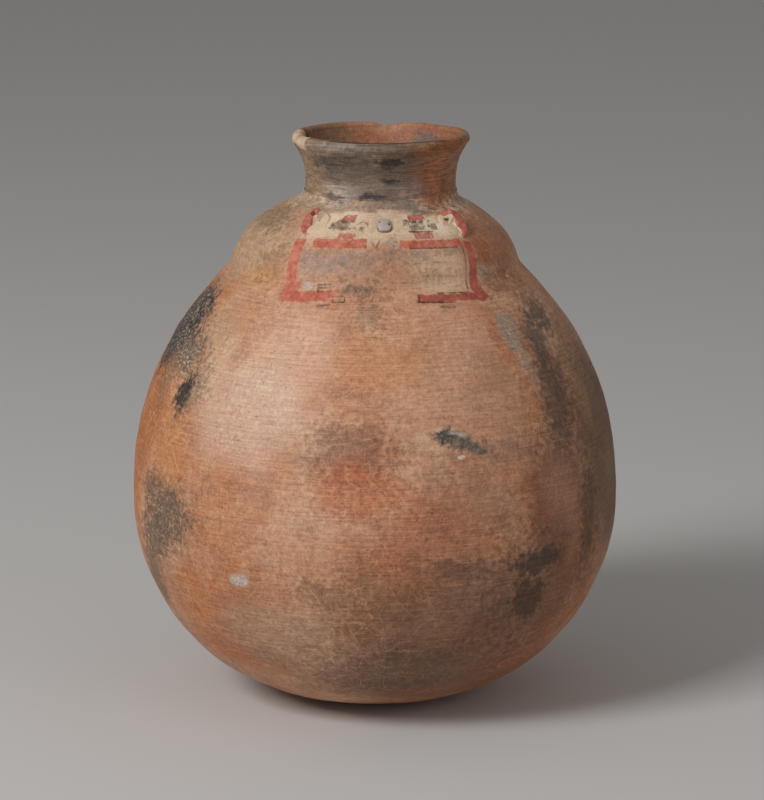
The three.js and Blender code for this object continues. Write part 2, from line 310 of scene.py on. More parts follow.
@dataclass
class WallCurve:
    """Line that the wall is turned from, with its length and the way that its face looks.

    Its points are radius and height, with the clay on their left. The relief is the unevenness of
    the whole wall, which fades out at the rest face, and the wiping is the level ridges on the neck,
    which begin about the luting coil's top.
    """

    outline: JarOutline
    points: Array
    relief: HandWork
    wiping: HandWork
    rest_fade: float = 14.0
    wiped_from: Span = (-2.0, 6.0)
    length: Array = field(init=False)
    looks: Array = field(init=False)

    def __post_init__(self) -> None:
        """Drops doubled points and works out the length and the looks."""
        steps = np.linalg.norm(np.diff(self.points, axis=0), axis=1)
        self.points = self.points[np.concatenate([[True], steps > SAME_PLACE])]
        self.length = along(self.points)
        step = np.gradient(self.points, self.length, axis=0)
        step /= np.linalg.norm(step, axis=1)[:, None]
        self.looks = np.stack([step[:, 1], -step[:, 0]], axis=-1)

    def reach(self, height: float, after: float = 0.0) -> float:
        """Length along the line at which it first passes a height.

        Args:
            height: The level to find.
            after: Length from which to search.

        Returns:
            Length in millimetres.
        """
        heights = self.points[:, 1]
        above = np.sign(heights - height)
        crossed = np.flatnonzero((above[:-1] * above[1:] <= 0.0) & (self.length[1:] > after + ROUNDING))
        for i in crossed:
            rise = heights[i + 1] - heights[i]
            share = 0.0 if rise == 0.0 else (height - heights[i]) / rise
            found = self.length[i] + share * (self.length[i + 1] - self.length[i])
            if found >= after - ROUNDING:
                return float(found)
        raise ValueError(f"the line never reaches {height}")

    def surface(self, length: Array, azimuth: Array) -> Array:
        """Points of the turned, hand-worked wall.

        Args:
            length: Places along the line, one row for each level.
            azimuth: Degrees from -Y towards +X, one column for each.

        Returns:
            Points in millimetres, rows by columns by 3.
        """
        size = np.broadcast_shapes(length.shape, azimuth.shape)
        length = np.broadcast_to(length, size)
        turn = np.radians(np.broadcast_to(azimuth, size))
        radius, height = (np.interp(length, self.length, self.points[:, k]) for k in (0, 1))
        out, rise = (np.interp(length, self.length, self.looks[:, k]) for k in (0, 1))
        flat = np.stack([np.sin(turn), -np.cos(turn)], axis=-1)
        base = np.concatenate([flat * radius[..., None], height[..., None]], axis=-1)
        grown = self.unevenness(base, turn, out)
        radius = np.minimum(radius + out * grown, self.outline.belly_radius)
        height = np.clip(height + rise * grown, 0.0, self.outline.height)
        return self.outline.turned(radius, height, turn)

    def unevenness(self, base: Array, turn: Array, out: Array) -> Array:
        """How far the hand-worked wall stands out from the turned one.

        Args:
            base: Points of the turned wall.
            turn: Their azimuths in radians.
            out: How far the wall's face looks outwards there, from -1 to 1; not used.

        Returns:
            Millimetres outwards from the clay.
        """
        height = base[..., 2]
        off_rest = soft_step(height, 0.0, self.rest_fade)
        low, high = (self.outline.luting_top + over for over in self.wiped_from)
        neck = soft_step(height, low, high)
        return self.relief.relief(base) * off_rest + neck * self.wiping.relief(base)

    def grid(self, lengths: Array, azimuths: Array) -> tuple[Array, Array]:
        """Rows of points and normals of the wall, all round.

        Args:
            lengths: Places along the line, or one row of them for each level.
            azimuths: Degrees of the columns, evenly round the jar.

        Returns:
            The points and the unit normals, rows by columns by 3.
        """
        rows = lengths if lengths.ndim == 2 else lengths[:, None]
        ghost = np.concatenate([2.0 * rows[:1] - rows[1:2], rows, 2.0 * rows[-1:] - rows[-2:-1]])
        ghost = np.clip(ghost, 0.0, self.length[-1])
        points = self.surface(ghost, azimuths[None, :])
        up = points[2:] - points[:-2]
        inner = points[1:-1]
        round_it = np.roll(inner, -1, axis=1) - np.roll(inner, 1, axis=1)
        looks = np.cross(round_it, up)
        looks /= np.maximum(np.linalg.norm(looks, axis=-1), LEAST_LENGTH)[..., None]
        return inner, looks


@dataclass
class ClayMesh:
    """Points and faces of one closed piece, which it makes a Blender object of.

    Its name is its CAD node's too.
    """

    name: str
    points: list[Array] = field(default_factory=list)
    looks: list[Array] = field(default_factory=list)
    layers: dict[str, Array] = field(default_factory=dict)
    faces: list[Array] = field(default_factory=list)
    smooth: list[bool] = field(default_factory=list)
    count: int = 0

    def add(self, points: Array, looks: Array) -> Array:
        """Adds points.

        Args:
            points: Places in millimetres, in any layout with 3 coordinates last.
            looks: Unit normals in the same layout.

        Returns:
            Their numbers, in the same layout.
        """
        layout = points.shape[:-1]
        flat = points.reshape(-1, 3)
        self.points.append(flat)
        self.looks.append(looks.reshape(-1, 3))
        numbers = np.arange(self.count, self.count + len(flat)).reshape(layout)
        self.count += len(flat)
        return numbers

    def skin(self, grid: Array, closed: bool = True, smooth: bool = True,
             skip: Array | None = None) -> None:
        """Lays quads between the rows of a grid of point numbers.

        Args:
            grid: Point numbers, rows by columns. Rows go up and columns go round to the right.
            closed: Whether the last column joins the first one.
            smooth: Whether the faces take the points' normals.
            skip: Rows by columns of quads to leave out, where true.
        """
        right = np.roll(grid, -1, axis=1) if closed else grid[:, 1:]
        left = grid if closed else grid[:, :-1]
        quads = np.stack([left[:-1], right[:-1], right[1:], left[1:]], axis=-1)
        quads = quads.reshape(-1, 4) if skip is None else quads[~skip]
        self.faces.append(quads)
        self.smooth.append(smooth)

    def fan(self, ring: Array, centre: int, below: bool) -> None:
        """Closes a ring with triangles to its middle.

        Args:
            ring: Point numbers of the ring, in order round it.
            centre: Number of the middle point.
            below: True if the ring is seen from below.
        """
        after = np.roll(ring, -1)
        middle = np.full_like(ring, centre)
        order = [after, ring, middle] if below else [ring, after, middle]
        self.faces.append(np.stack(order, axis=-1))
        self.smooth.append(True)

    def build(self, finish: bpy.types.Material, slot: Slot) -> None:
        """Makes the object, dresses it and hangs it on the frame in place of its CAD node.

        Args:
            finish: Material of the whole piece.
            slot: The record's material slot that it stands for; not used.
        """
        points = np.concatenate(self.points) * MILLIMETRE
        looks = np.concatenate(self.looks)
        mesh = bpy.data.meshes.new(self.name + "_clay")
        faces = [face for group in self.faces for face in group.tolist()]
        mesh.from_pydata(points.tolist(), [], faces)
        mesh.polygons.foreach_set("use_smooth", np.repeat(self.smooth, [len(g) for g in self.faces]))
        corners = np.concatenate([group.reshape(-1) for group in self.faces])
        soft = np.repeat(self.smooth, [group.size for group in self.faces])
        corner_looks = looks[corners] * soft[:, None]
        mesh.materials.append(finish)
        for name, values in self.layers.items():
            mesh.attributes.new(name, "FLOAT", "POINT").data.foreach_set("value", values)
        mesh.validate()
        if np.any(corner_looks):
            mesh.normals_split_custom_set(corner_looks.tolist())
        piece = bpy.data.objects.new(self.name + "_piece", mesh)
        link(piece)
        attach(piece, BODY)
        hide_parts(self.name)
        LOG.info("%s: %d points, %d faces", self.name, len(points), len(faces))


def looks_of(points: Array, closed: bool) -> Array:
    """Unit normals of a grid of points.

    Args:
        points: Rows by columns by 3, with the columns going round to the right.
        closed: Whether the last column lies next to the first one.

    Returns:
        The normals in the same layout.
    """
    up = np.gradient(points, axis=0)
    if closed:
        right = np.roll(points, -1, axis=1) - np.roll(points, 1, axis=1)
    else:
        right = np.gradient(points, axis=1)
    looks = np.cross(right, up)
    return looks / np.maximum(np.linalg.norm(looks, axis=-1), LEAST_LENGTH)[..., None]


@dataclass(frozen=True)
class LostPiece:
    """Piece broken out of the lip, whose place plaster fills. Its lower edge has a kink."""

    azimuth: float = -80.0
    half_width: float = 27.0
    low_corner: float = 1.0
    high_corner: float = 7.0
    kink_along: float = 0.35
    kink_up: float = 4.6
    seat_gap: float = 0.3

    def edges(self, radius: float) -> Span:
        """Azimuths of the left and right break, in degrees."""
        half = math.degrees(math.asin(self.half_width / radius))
        return self.azimuth - half, self.azimuth + half

    def floor(self, azimuth: Array, radius: float) -> Array:
        """Height of the broken edge over the rim's joint.

        Args:
            azimuth: Degrees, from -180 to 180.
            radius: Radius at which the break's width is measured.

        Returns:
            Millimetres over the joint, running on level past both ends.
        """
        left, right = self.edges(radius)
        kink = self.azimuth - (self.azimuth - left) * self.kink_along
        middle = (self.low_corner + self.high_corner) / 2.0
        places = [-180.0, left, kink, right, 180.0]
        return np.interp(azimuth, places, [middle, self.high_corner, self.kink_up, self.low_corner, middle])


@dataclass(frozen=True)
class WornDip:
    """Shallow worn dip in the crest of the rim."""

    azimuth: float = 176.0
    half_width: float = 12.5
    depth: float = 2.4
    fade: Span = (481.0, 490.0)

    def depth_at(self, base: Array, turn: Array) -> Array:
        """How deep the dip is at some places.

        Args:
            base: Points of the turned wall.
            turn: Their azimuths in radians.

        Returns:
            Millimetres into the clay.
        """
        away = np.degrees(turn) - self.azimuth
        away = np.radians((away + 180.0) % 360.0 - 180.0)
        across = np.hypot(base[..., 0], base[..., 1]) * away / self.half_width
        bowl = np.clip(1.0 - across ** 2, 0.0, 1.0)
        return self.depth * bowl * soft_step(base[..., 2], *self.fade)


@dataclass
class RimCurve(WallCurve):
    """Line of the neck, lip and inside, whose crest has a worn dip."""

    dip: WornDip = WornDip()

    def unevenness(self, base: Array, turn: Array, out: Array) -> Array:
        """Adds the worn dip to the unevenness of the wall; see WallCurve."""
        return super().unevenness(base, turn, out) - self.dip.depth_at(base, turn)


@dataclass
class TurnedWalls:
    """Body, collar and rim: one hand-worked wall, cut at the level joints of its building stages.

    Steps are millimetres between rows. The panel is the painted stretch from one azimuth to another
    above a height, where the rows and columns are finer; the other columns of those rings are a
    round_turn apart. Rim rows are the rows under the break outside, over the crest and under it inside.
    """

    outline: JarOutline = JarOutline()
    relief: HandWork = HandWork(seed=11, layers=((170.0, 0.42), (60.0, 0.2), (21.0, 0.08)))
    wiping: HandWork = HandWork(seed=23, layers=((30.0, 0.07),), stretch=7.0)
    lost: LostPiece = LostPiece()
    columns: int = 480
    body_step: float = 3.0
    panel: Triple = (-44.0, 50.0, 362.0)
    panel_step: float = 0.6
    panel_turn: float = 0.25
    round_turn: float = 1.0
    line_step: float = 1.5
    corner_samples: int = 8
    neck_step: float = 1.0
    inner_step: float = 6.0
    smallest_ring: float = 3.0
    rim_rows: tuple[int, int, int] = (8, 41, 8)
    rim_search: float = 5.0
    outer: WallCurve = field(init=False)
    inner: WallCurve = field(init=False)
    azimuths: Array = field(init=False)
    crest: float = field(init=False)

    def __post_init__(self) -> None:
        """Lays out the two lines that the walls are turned from."""
        jar = self.outline
        self.azimuths = np.arange(self.columns) * 360.0 / self.columns
        disc = np.array([[self.smallest_ring, 0.0], [jar.rest_radius, 0.0]])
        body = np.concatenate([disc[:1], jar.lower_belly(), jar.upper_belly()[1:], jar.dome()[1:]])
        body = self.soften(body, jar.crease_height, jar.crease_softness)
        self.outer = WallCurve(jar, body, self.relief, self.wiping)
        self.inner = RimCurve(jar, self.neck_and_inside(body), self.relief, self.wiping)
        self.crest = float(self.inner.length[np.argmax(self.inner.points[:, 1])])

    def soften(self, line: Array, level: float, softness: float) -> Array:
        """Rounds a line off where it passes a level.

        Args:
            line: Radius and height points.
            level: Height of the corner.
            softness: Millimetres of line on each side that the rounding takes in.

        Returns:
            The line with evenly spaced points and a soft corner.
        """
        half = self.corner_samples
        whole = 2 * half + 1
        length = along(line)
        even = np.arange(0.0, length[-1], softness / half)
        even = np.append(even, length[-1])
        fine = read_along(line, length, even)
        window = np.ones(whole) / whole
        padded = np.pad(fine, ((half, half), (0, 0)), mode="edge")
        smooth = np.stack([np.convolve(padded[:, k], window, mode="valid") for k in (0, 1)], -1)
        share = np.exp(-((fine[:, 1] - level) / softness) ** 2)[:, None]
        share[:half + 1] = share[-half - 1:] = 0.0
        return fine * (1.0 - share) + smooth * share

    def neck_and_inside(self, body: Array) -> Array:
        """Line from the collar's foot up over the lip and down the inside to the floor's middle.

        Args:
            body: The body's outer line.

        Returns:
            Radius and height points.
        """
        jar = self.outline
        start = jar.lip_point(jar.lip_start_angle)
        neck = jar.neck(jar.neck_foot, start[1])
        lip = jar.lip_point(np.linspace(jar.lip_start_angle, 180.0, jar.lip_samples))
        above = jar.neck(jar.luting_top + jar.neck_wall / 2.0, start[1])
        outside = np.concatenate([body, jar.luting_face()[1:], above])
        length = along(outside)
        even = np.arange(0.0, length[-1], self.line_step)
        outside = read_along(outside, length, even)
        step = np.gradient(outside, axis=0)
        step /= np.linalg.norm(step, axis=1)[:, None]
        inwards = np.stack([-step[:, 1], step[:, 0]], -1)
        inside = outside + inwards * jar.wall(outside[:, 1])[:, None]
        inside = inside[(inside[:, 1] > jar.floor_thickness) & (inside[:, 1] < lip[-1][1] - jar.neck_wall)]
        inside = inside[::-1]
        edge = inside[-1][0] - jar.body_wall
        floor = [[radius, jar.floor_thickness] for radius in (edge, self.smallest_ring)]
        falling = np.concatenate([[True], np.diff(inside[:, 1]) < 0.0])
        return np.concatenate([neck, lip[1:], inside[falling], floor])

    def line_at(self, height: float) -> WallCurve:
        """Line that the outside face follows at a height."""
        return self.outer if height <= self.outline.neck_foot else self.inner

    def tilt_at(self, height: float) -> float:
        """Degrees by which the outside face looks up.

        Args:
            height: Millimetres over the rest.

        Returns:
            The angle over the level.
        """
        line = self.line_at(height)
        here = line.reach(height)
        out, rise = (float(np.interp(here, line.length, line.looks[:, k])) for k in (0, 1))
        return math.degrees(math.atan2(rise, out))

    def levels(self, line: WallCurve, start: float, end: float, step: float) -> Array:
        """Evenly spaced places along a line."""
        return np.linspace(start, end, max(2, round(abs(end - start) / step)) + 1)

    def outer_levels(self, low: float, high: float, step: float) -> Array:
        """Places on the body's outer face between two heights."""
        return self.levels(self.outer, self.outer.reach(low), self.outer.reach(high), step)

    def inner_levels(self, high: float, low: float) -> Array:
        """Places down the inner face between two heights."""
        reach = self.inner.reach
        return self.levels(self.inner, reach(high, self.crest), reach(low, self.crest), self.inner_step)

    def close_ring(self, clay: ClayMesh, outer: Array, inner: Array) -> None:
        """Skins both faces of a ring of wall and its two level joints.

        Args:
            clay: Piece that the faces belong to.
            outer: Point numbers of the outer face, going up.
            inner: Point numbers of the inner face, going down.
        """
        clay.skin(outer)
        clay.skin(inner)
        clay.skin(np.stack([outer[-1], inner[0]]), smooth=False)
        clay.skin(np.stack([inner[-1], outer[0]]), smooth=False)

    def wall_ring(self, name: str, low: float, high: float) -> ClayMesh:
        """Ring of the body's wall between two joints, finer where it carries the painted panel.

        Args:
            name: CAD node that it replaces.
            low: Height of its lower joint.
            high: Height of its upper joint.

        Returns:
            The closed piece.
        """
        left, right, foot = self.panel
        azimuths, levels = self.azimuths, self.outer_levels(low, high, self.body_step)
        if high > foot:
            rest = np.arange(right, 360.0 + left, self.round_turn)
            azimuths = np.concatenate([np.arange(left, right, self.panel_turn), rest])
            levels = self.outer_levels(max(low, foot), high, self.panel_step)
            if low < foot:
                levels = np.concatenate([self.outer_levels(low, foot, self.body_step)[:-1], levels])
        clay = ClayMesh(name)
        outer = clay.add(*self.outer.grid(levels, azimuths))
        inner = clay.add(*self.inner.grid(self.inner_levels(high, low), azimuths))
        self.close_ring(clay, outer, inner)
        return clay

    def base_bowl(self) -> ClayMesh:
        """Bowl that the jar was built up from, with its worn rest and its floor.

        Returns:
            The closed piece.
        """
        jar = self.outline
        clay = ClayMesh("base_bowl")
        high = self.outer.reach(jar.base_bowl_height)
        outer_lengths = self.levels(self.outer, 0.0, high, self.body_step)
        inner_start = self.inner.reach(jar.base_bowl_height, self.crest)
        inner_lengths = self.levels(self.inner, inner_start, self.inner.length[-1], self.inner_step)
        outer = clay.add(*self.outer.grid(outer_lengths, self.azimuths))
        inner = clay.add(*self.inner.grid(inner_lengths, self.azimuths))
        under = clay.add(np.zeros((1, 3)), np.array([[0.0, 0.0, -1.0]]))
        floor = clay.add(np.array([[0.0, 0.0, jar.floor_thickness]]), np.array([[0.0, 0.0, 1.0]]))
        clay.skin(outer)
        clay.skin(np.stack([outer[-1], inner[0]]), smooth=False)
        clay.skin(inner)
        clay.fan(outer[0], int(under[0]), below=True)
        clay.fan(inner[-1], int(floor[0]), below=False)
        return clay

    def collar(self) -> ClayMesh:
        """Neck collar, from the dome up to the rim's joint.

        Returns:
            The closed piece.
        """
        jar = self.outline
        clay = ClayMesh("neck_collar")
        lengths = self.levels(self.inner, 0.0, self.inner.reach(jar.rim_joint), self.neck_step)
        outer = clay.add(*self.inner.grid(lengths, self.azimuths))
        inner = clay.add(*self.inner.grid(self.inner_levels(jar.rim_joint, jar.neck_foot), self.azimuths))
        self.close_ring(clay, outer, inner)
        return clay

    def rim_lengths(self, azimuths: Array, inset: float) -> tuple[Array, Array]:
        """Places along the rim's line where the broken edge lies, outside and inside.

        Args:
            azimuths: Degrees from -180 to 180.
            inset: Millimetres to stay clear of the break.

        Returns:
            Lengths on the outer face and on the inner face.
        """
        jar = self.outline
        heights = jar.rim_joint + self.lost.floor(azimuths, jar.lip_centre[0])
        line, level = self.inner.length, self.inner.points[:, 1]
        rising = line <= self.crest
        outside = np.interp(heights, level[rising], line[rising])
        falling = (line >= self.crest) & (level > jar.rim_joint - self.rim_search)
        inside = np.interp(heights, level[falling][::-1], line[falling][::-1])
        return outside + inset, inside - inset

    def rim_coil(self) -> ClayMesh:
        """Rolled rim with its worn dip and the gap that the lost piece left.

        Returns:
            The closed piece.
        """
        jar = self.outline
        clay = ClayMesh("rim_coil")
        turned = (self.azimuths + 180.0) % 360.0 - 180.0
        start = self.inner.reach(jar.rim_joint)
        end = self.inner.reach(jar.rim_joint, self.crest)
        outside, inside = self.rim_lengths(turned, 0.0)
        below, over, under = self.rim_rows
        lengths = np.concatenate([
            np.linspace(np.full_like(outside, start), outside, below + 1)[:-1],
            np.linspace(outside, inside, over + 1)[:-1],
            np.linspace(inside, np.full_like(inside, end), under + 1),
        ])
        grid = clay.add(*self.inner.grid(lengths, self.azimuths))
        left, right = self.lost_columns()
        skip = np.zeros((len(grid) - 1, self.columns), bool)
        skip[below:below + over, left:right] = True
        clay.skin(grid, skip=skip)
        clay.skin(np.stack([grid[-1], grid[0]]), smooth=False)
        edge = grid[below:below + over + 1, left:right + 1]
        clay.skin(np.stack([edge[0], edge[-1]]), closed=False, smooth=False)
        self.close_end(clay, edge[:, 0], looks_right=True)
        self.close_end(clay, edge[:, -1], looks_right=False)
        return clay

    def lost_columns(self) -> tuple[int, int]:
        """Columns of the rim's grid at which the lost piece begins and ends.

        Returns:
            Their numbers, from the left to the right.
        """
        edges = self.lost.edges(self.outline.lip_centre[0])
        left, right = (round(edge % 360.0 / 360.0 * self.columns) for edge in edges)
        return left, right

    def close_end(self, clay: ClayMesh, column: Array, looks_right: bool) -> None:
        """Closes the lip's cross-section at a break.

        Args:
            clay: Piece that the faces belong to.
            column: Point numbers from the outer face over the crest to the inner one, even in number.
            looks_right: Whether the broken face looks towards growing azimuth.
        """
        half = len(column) // 2
        outer, inner = column[:half], column[::-1][:half]
        pair = [outer, inner] if looks_right else [inner, outer]
        clay.skin(np.stack(pair, axis=-1), closed=False, smooth=False)


@dataclass
class PlasterFill:
    """Plaster that fills the lost piece of the lip, a little under the old surface."""

    walls: TurnedWalls
    sunk: float = 0.25
    lumps: HandWork = HandWork(seed=5, layers=((14.0, 0.16), (5.0, 0.07)))
    rows: int = 33
    columns: int = 57

    def mesh(self) -> ClayMesh:
        """Closed plug between the breaks, a seat gap away from each.

        Returns:
            The closed piece.
        """
        walls = self.walls
        lost = walls.lost
        jar = walls.outline
        left, right = (column * 360.0 / walls.columns - 360.0 for column in walls.lost_columns())
        gap = math.degrees(lost.seat_gap / jar.lip_centre[0])
        azimuths = np.linspace(left + gap, right - gap, self.columns)
        outside, inside = walls.rim_lengths(azimuths, lost.seat_gap)
        lengths = np.linspace(outside, inside, self.rows + 1)
        points = walls.inner.surface(lengths, azimuths[None, :])
        looks = looks_of(points, closed=False)
        points = points - looks * (self.sunk + self.lumps.relief(points))[..., None]
        clay = ClayMesh("rim_fill")
        grid = clay.add(points, looks_of(points, closed=False))
        clay.skin(grid, closed=False)
        clay.skin(np.stack([grid[-1], grid[0]]), closed=False, smooth=False)
        walls.close_end(clay, grid[:, 0], looks_right=False)
        walls.close_end(clay, grid[:, -1], looks_right=True)
        return clay


@dataclass
class LutingCoil:
    """Coil pressed by finger into the corner between the dome and the collar.

    It is thickest at thick_azimuth and thins out over thick_spread degrees. Its smeared top edge
    wanders within edge_reach of its height and rounds over to the neck in a bead, whose sizes are
    shares of the coil's thickness.
    """

    walls: TurnedWalls
    fingers: HandWork = HandWork(seed=31, layers=((30.0, 0.55), (11.0, 0.22)))
    edge_waves: HandWork = HandWork(seed=37, layers=((60.0, 0.8), (19.0, 0.4)))
    face_rows: int = 12
    seat_gap: float = 0.2
    thickest: float = 1.9
    thinnest: float = 0.4
    thick_azimuth: float = -52.0
    thick_spread: float = 34.0
    wave_share: float = 0.3
    edge_reach: Span = (-1.6, 0.6)
    bead_in: float = 0.3
    bead_out: float = 0.25
    bead_up: Triple = (0.35, 0.4, 0.2)
    seat_drop: float = 1.0
    seat_rows: int = 3

    def mesh(self) -> ClayMesh:
        """Closed ring whose smeared top edge wanders on the neck.

        Returns:
            The closed piece.
        """
        jar = self.walls.outline
        azimuths = self.walls.azimuths
        turn = np.radians(azimuths)
        foot = self.walls.outer.surface(self.walls.outer.length[-1:][:, None], azimuths[None, :])[0]
        waves = self.edge_waves.relief(foot)
        away = (azimuths - self.thick_azimuth + 180.0) % 360.0 - 180.0
        bulge = self.thickest * np.exp(-(away / self.thick_spread) ** 2)
        thick = self.thinnest + self.wave_share * waves + bulge
        thick = np.clip(thick, self.thinnest, self.thickest)
        rise = jar.luting_height + np.clip(waves, *self.edge_reach)
        share = np.linspace(0.0, 1.0, self.face_rows)[:, None]
        flat_foot = foot[:, :2] - np.stack([jar.lean(foot[:, 2]), np.zeros(len(foot))], -1)
        foot_radius = np.linalg.norm(flat_foot, axis=-1)
        top_height = jar.neck_foot + rise
        seat_top = self.seat(top_height, turn)
        top_radius = seat_top + thick
        radius = top_radius + (foot_radius - top_radius) * (1.0 - share) ** jar.luting_hollow
        height = foot[:, 2] + (top_height - foot[:, 2]) * share
        bead = (top_radius - self.bead_in * thick, seat_top + self.bead_out * thick, seat_top)
        bead_height = np.stack([top_height + up * thick for up in self.bead_up])
        foot_height = np.full_like(top_height, jar.neck_foot)
        down = np.linspace(top_height - self.seat_drop, foot_height, self.seat_rows)
        radius = np.concatenate([radius, bead, self.seat(down, turn)])
        height = np.concatenate([height, bead_height, down])
        unpressed = np.zeros(len(bead) + self.seat_rows)
        face = np.concatenate([np.sin(math.pi * share[:, 0]), unpressed])[:, None]
        points = jar.turned(radius, height, turn)
        pressed = self.fingers.relief(points) * face
        points = jar.turned(radius + pressed, height, turn)
        clay = ClayMesh("neck_luting_coil")
        grid = clay.add(points, looks_of(points, closed=True))
        clay.skin(grid)
        clay.skin(np.stack([grid[-1], grid[0]]), smooth=False)
        return clay

    def seat(self, height: Array, turn: Array) -> Array:
        """Radius just clear of the hand-worked neck.

        Args:
            height: Millimetres over the rest.
            turn: Azimuths in radians, one for each column.

        Returns:
            The radii.
        """
        radius = self.walls.outline.neck_radius(height)
        wall = self.walls.outline.turned(radius, height, turn)
        return radius + self.walls.relief.relief(wall) + self.seat_gap


@dataclass
class Applique:
    """Place on the wall where a piece of clay was pressed on, with axes of its own.

    Its first axis goes sideways towards growing azimuth, its second up, its third outwards. The wall
    under it is searched for within a distance by halving it, and a piece's root goes a little deeper.
    """

    walls: TurnedWalls
    azimuth: float
    height: float
    tilt: float
    neck_span: Span = (445.0, 470.0)
    search: float = 40.0
    halvings: int = 36
    root: float = 0.8
    side: Array = field(init=False)
    up: Array = field(init=False)
    looks: Array = field(init=False)
    middle: Array = field(init=False)

    def __post_init__(self) -> None:
        """Works out the axes and the middle."""
        turn, rise = math.radians(self.azimuth), math.radians(self.tilt)
        out = np.array([math.sin(turn), -math.cos(turn), 0.0])
        self.side = np.array([math.cos(turn), math.sin(turn), 0.0])
        self.looks = out * math.cos(rise) + np.array([0.0, 0.0, math.sin(rise)])
        self.up = np.cross(self.looks, self.side)
        jar = self.walls.outline
        line = self.walls.line_at(self.height)
        radius = float(np.interp(line.reach(self.height), line.length, line.points[:, 0]))
        self.middle = out * radius + np.array([float(jar.lean(self.height)), 0.0, self.height])

    def place(self, across: Array, up: Array, out: Array) -> Array:
        """Points from distances along the three axes."""
        sideways = self.middle + across[..., None] * self.side
        return sideways + up[..., None] * self.up + out[..., None] * self.looks

    def wall(self, across: Array, up: Array) -> Array:
        """How far out the hand-worked wall lies under points of the local plane.

        Args:
            across: Distances sideways.
            up: Distances upwards.

        Returns:
            Distances outwards, negative where the wall falls away.
        """
        jar = self.walls.outline
        neck = jar.neck(*self.neck_span)
        line = np.concatenate([self.walls.outer.points, jar.luting_face()[1:], neck])
        low, high = np.full(across.shape, -self.search), np.full(across.shape, self.search)
        for _ in range(self.halvings):
            middle = (low + high) / 2.0
            point = self.place(across, up, middle)
            radius = np.hypot(point[..., 0] - jar.lean(point[..., 2]), point[..., 1])
            outside = radius > np.interp(point[..., 2], line[:, 1], line[:, 0])
            low, high = np.where(outside, low, middle), np.where(outside, middle, high)
        return low + self.walls.relief.relief(self.place(across, up, low))

    def press(self, name: str, points: Array, slip: Array, swell: float, tip_first: bool) -> ClayMesh:
        """Pressed-on piece, closed over its tip and under its root.

        Args:
            name: CAD node that it replaces.
            points: Its skin, with the rings of tip and root as the first and last rows.
            slip: How much slip lies on each point, and then on tip and root; below zero it asks for painted
                shade.
            swell: How far the tip stands out from the wall.
            tip_first: Whether the first row is the ring round the tip.

        Returns:
            The closed piece.
        """
        clay = ClayMesh(name)
        clay.layers[SLIP_AND_SHADE_LAYER] = slip
        grid = clay.add(points, looks_of(points, closed=True))
        clay.skin(grid)
        origin = np.zeros(1)
        wall = self.wall(origin, origin)
        tip = clay.add(self.place(origin, origin, wall + swell), self.looks[None, :])
        root = clay.add(self.place(origin, origin, wall - self.root), -self.looks[None, :])
        top, under = (grid[0], grid[-1]) if tip_first else (grid[-1], grid[0])
        clay.fan(top, int(tip[0]), below=tip_first)
        clay.fan(under, int(root[0]), below=not tip_first)
        return clay


class Flank(IntEnum):
    """Side of the face that a piece stands on, as the sign of its azimuth."""

    LEFT = -1
    RIGHT = 1


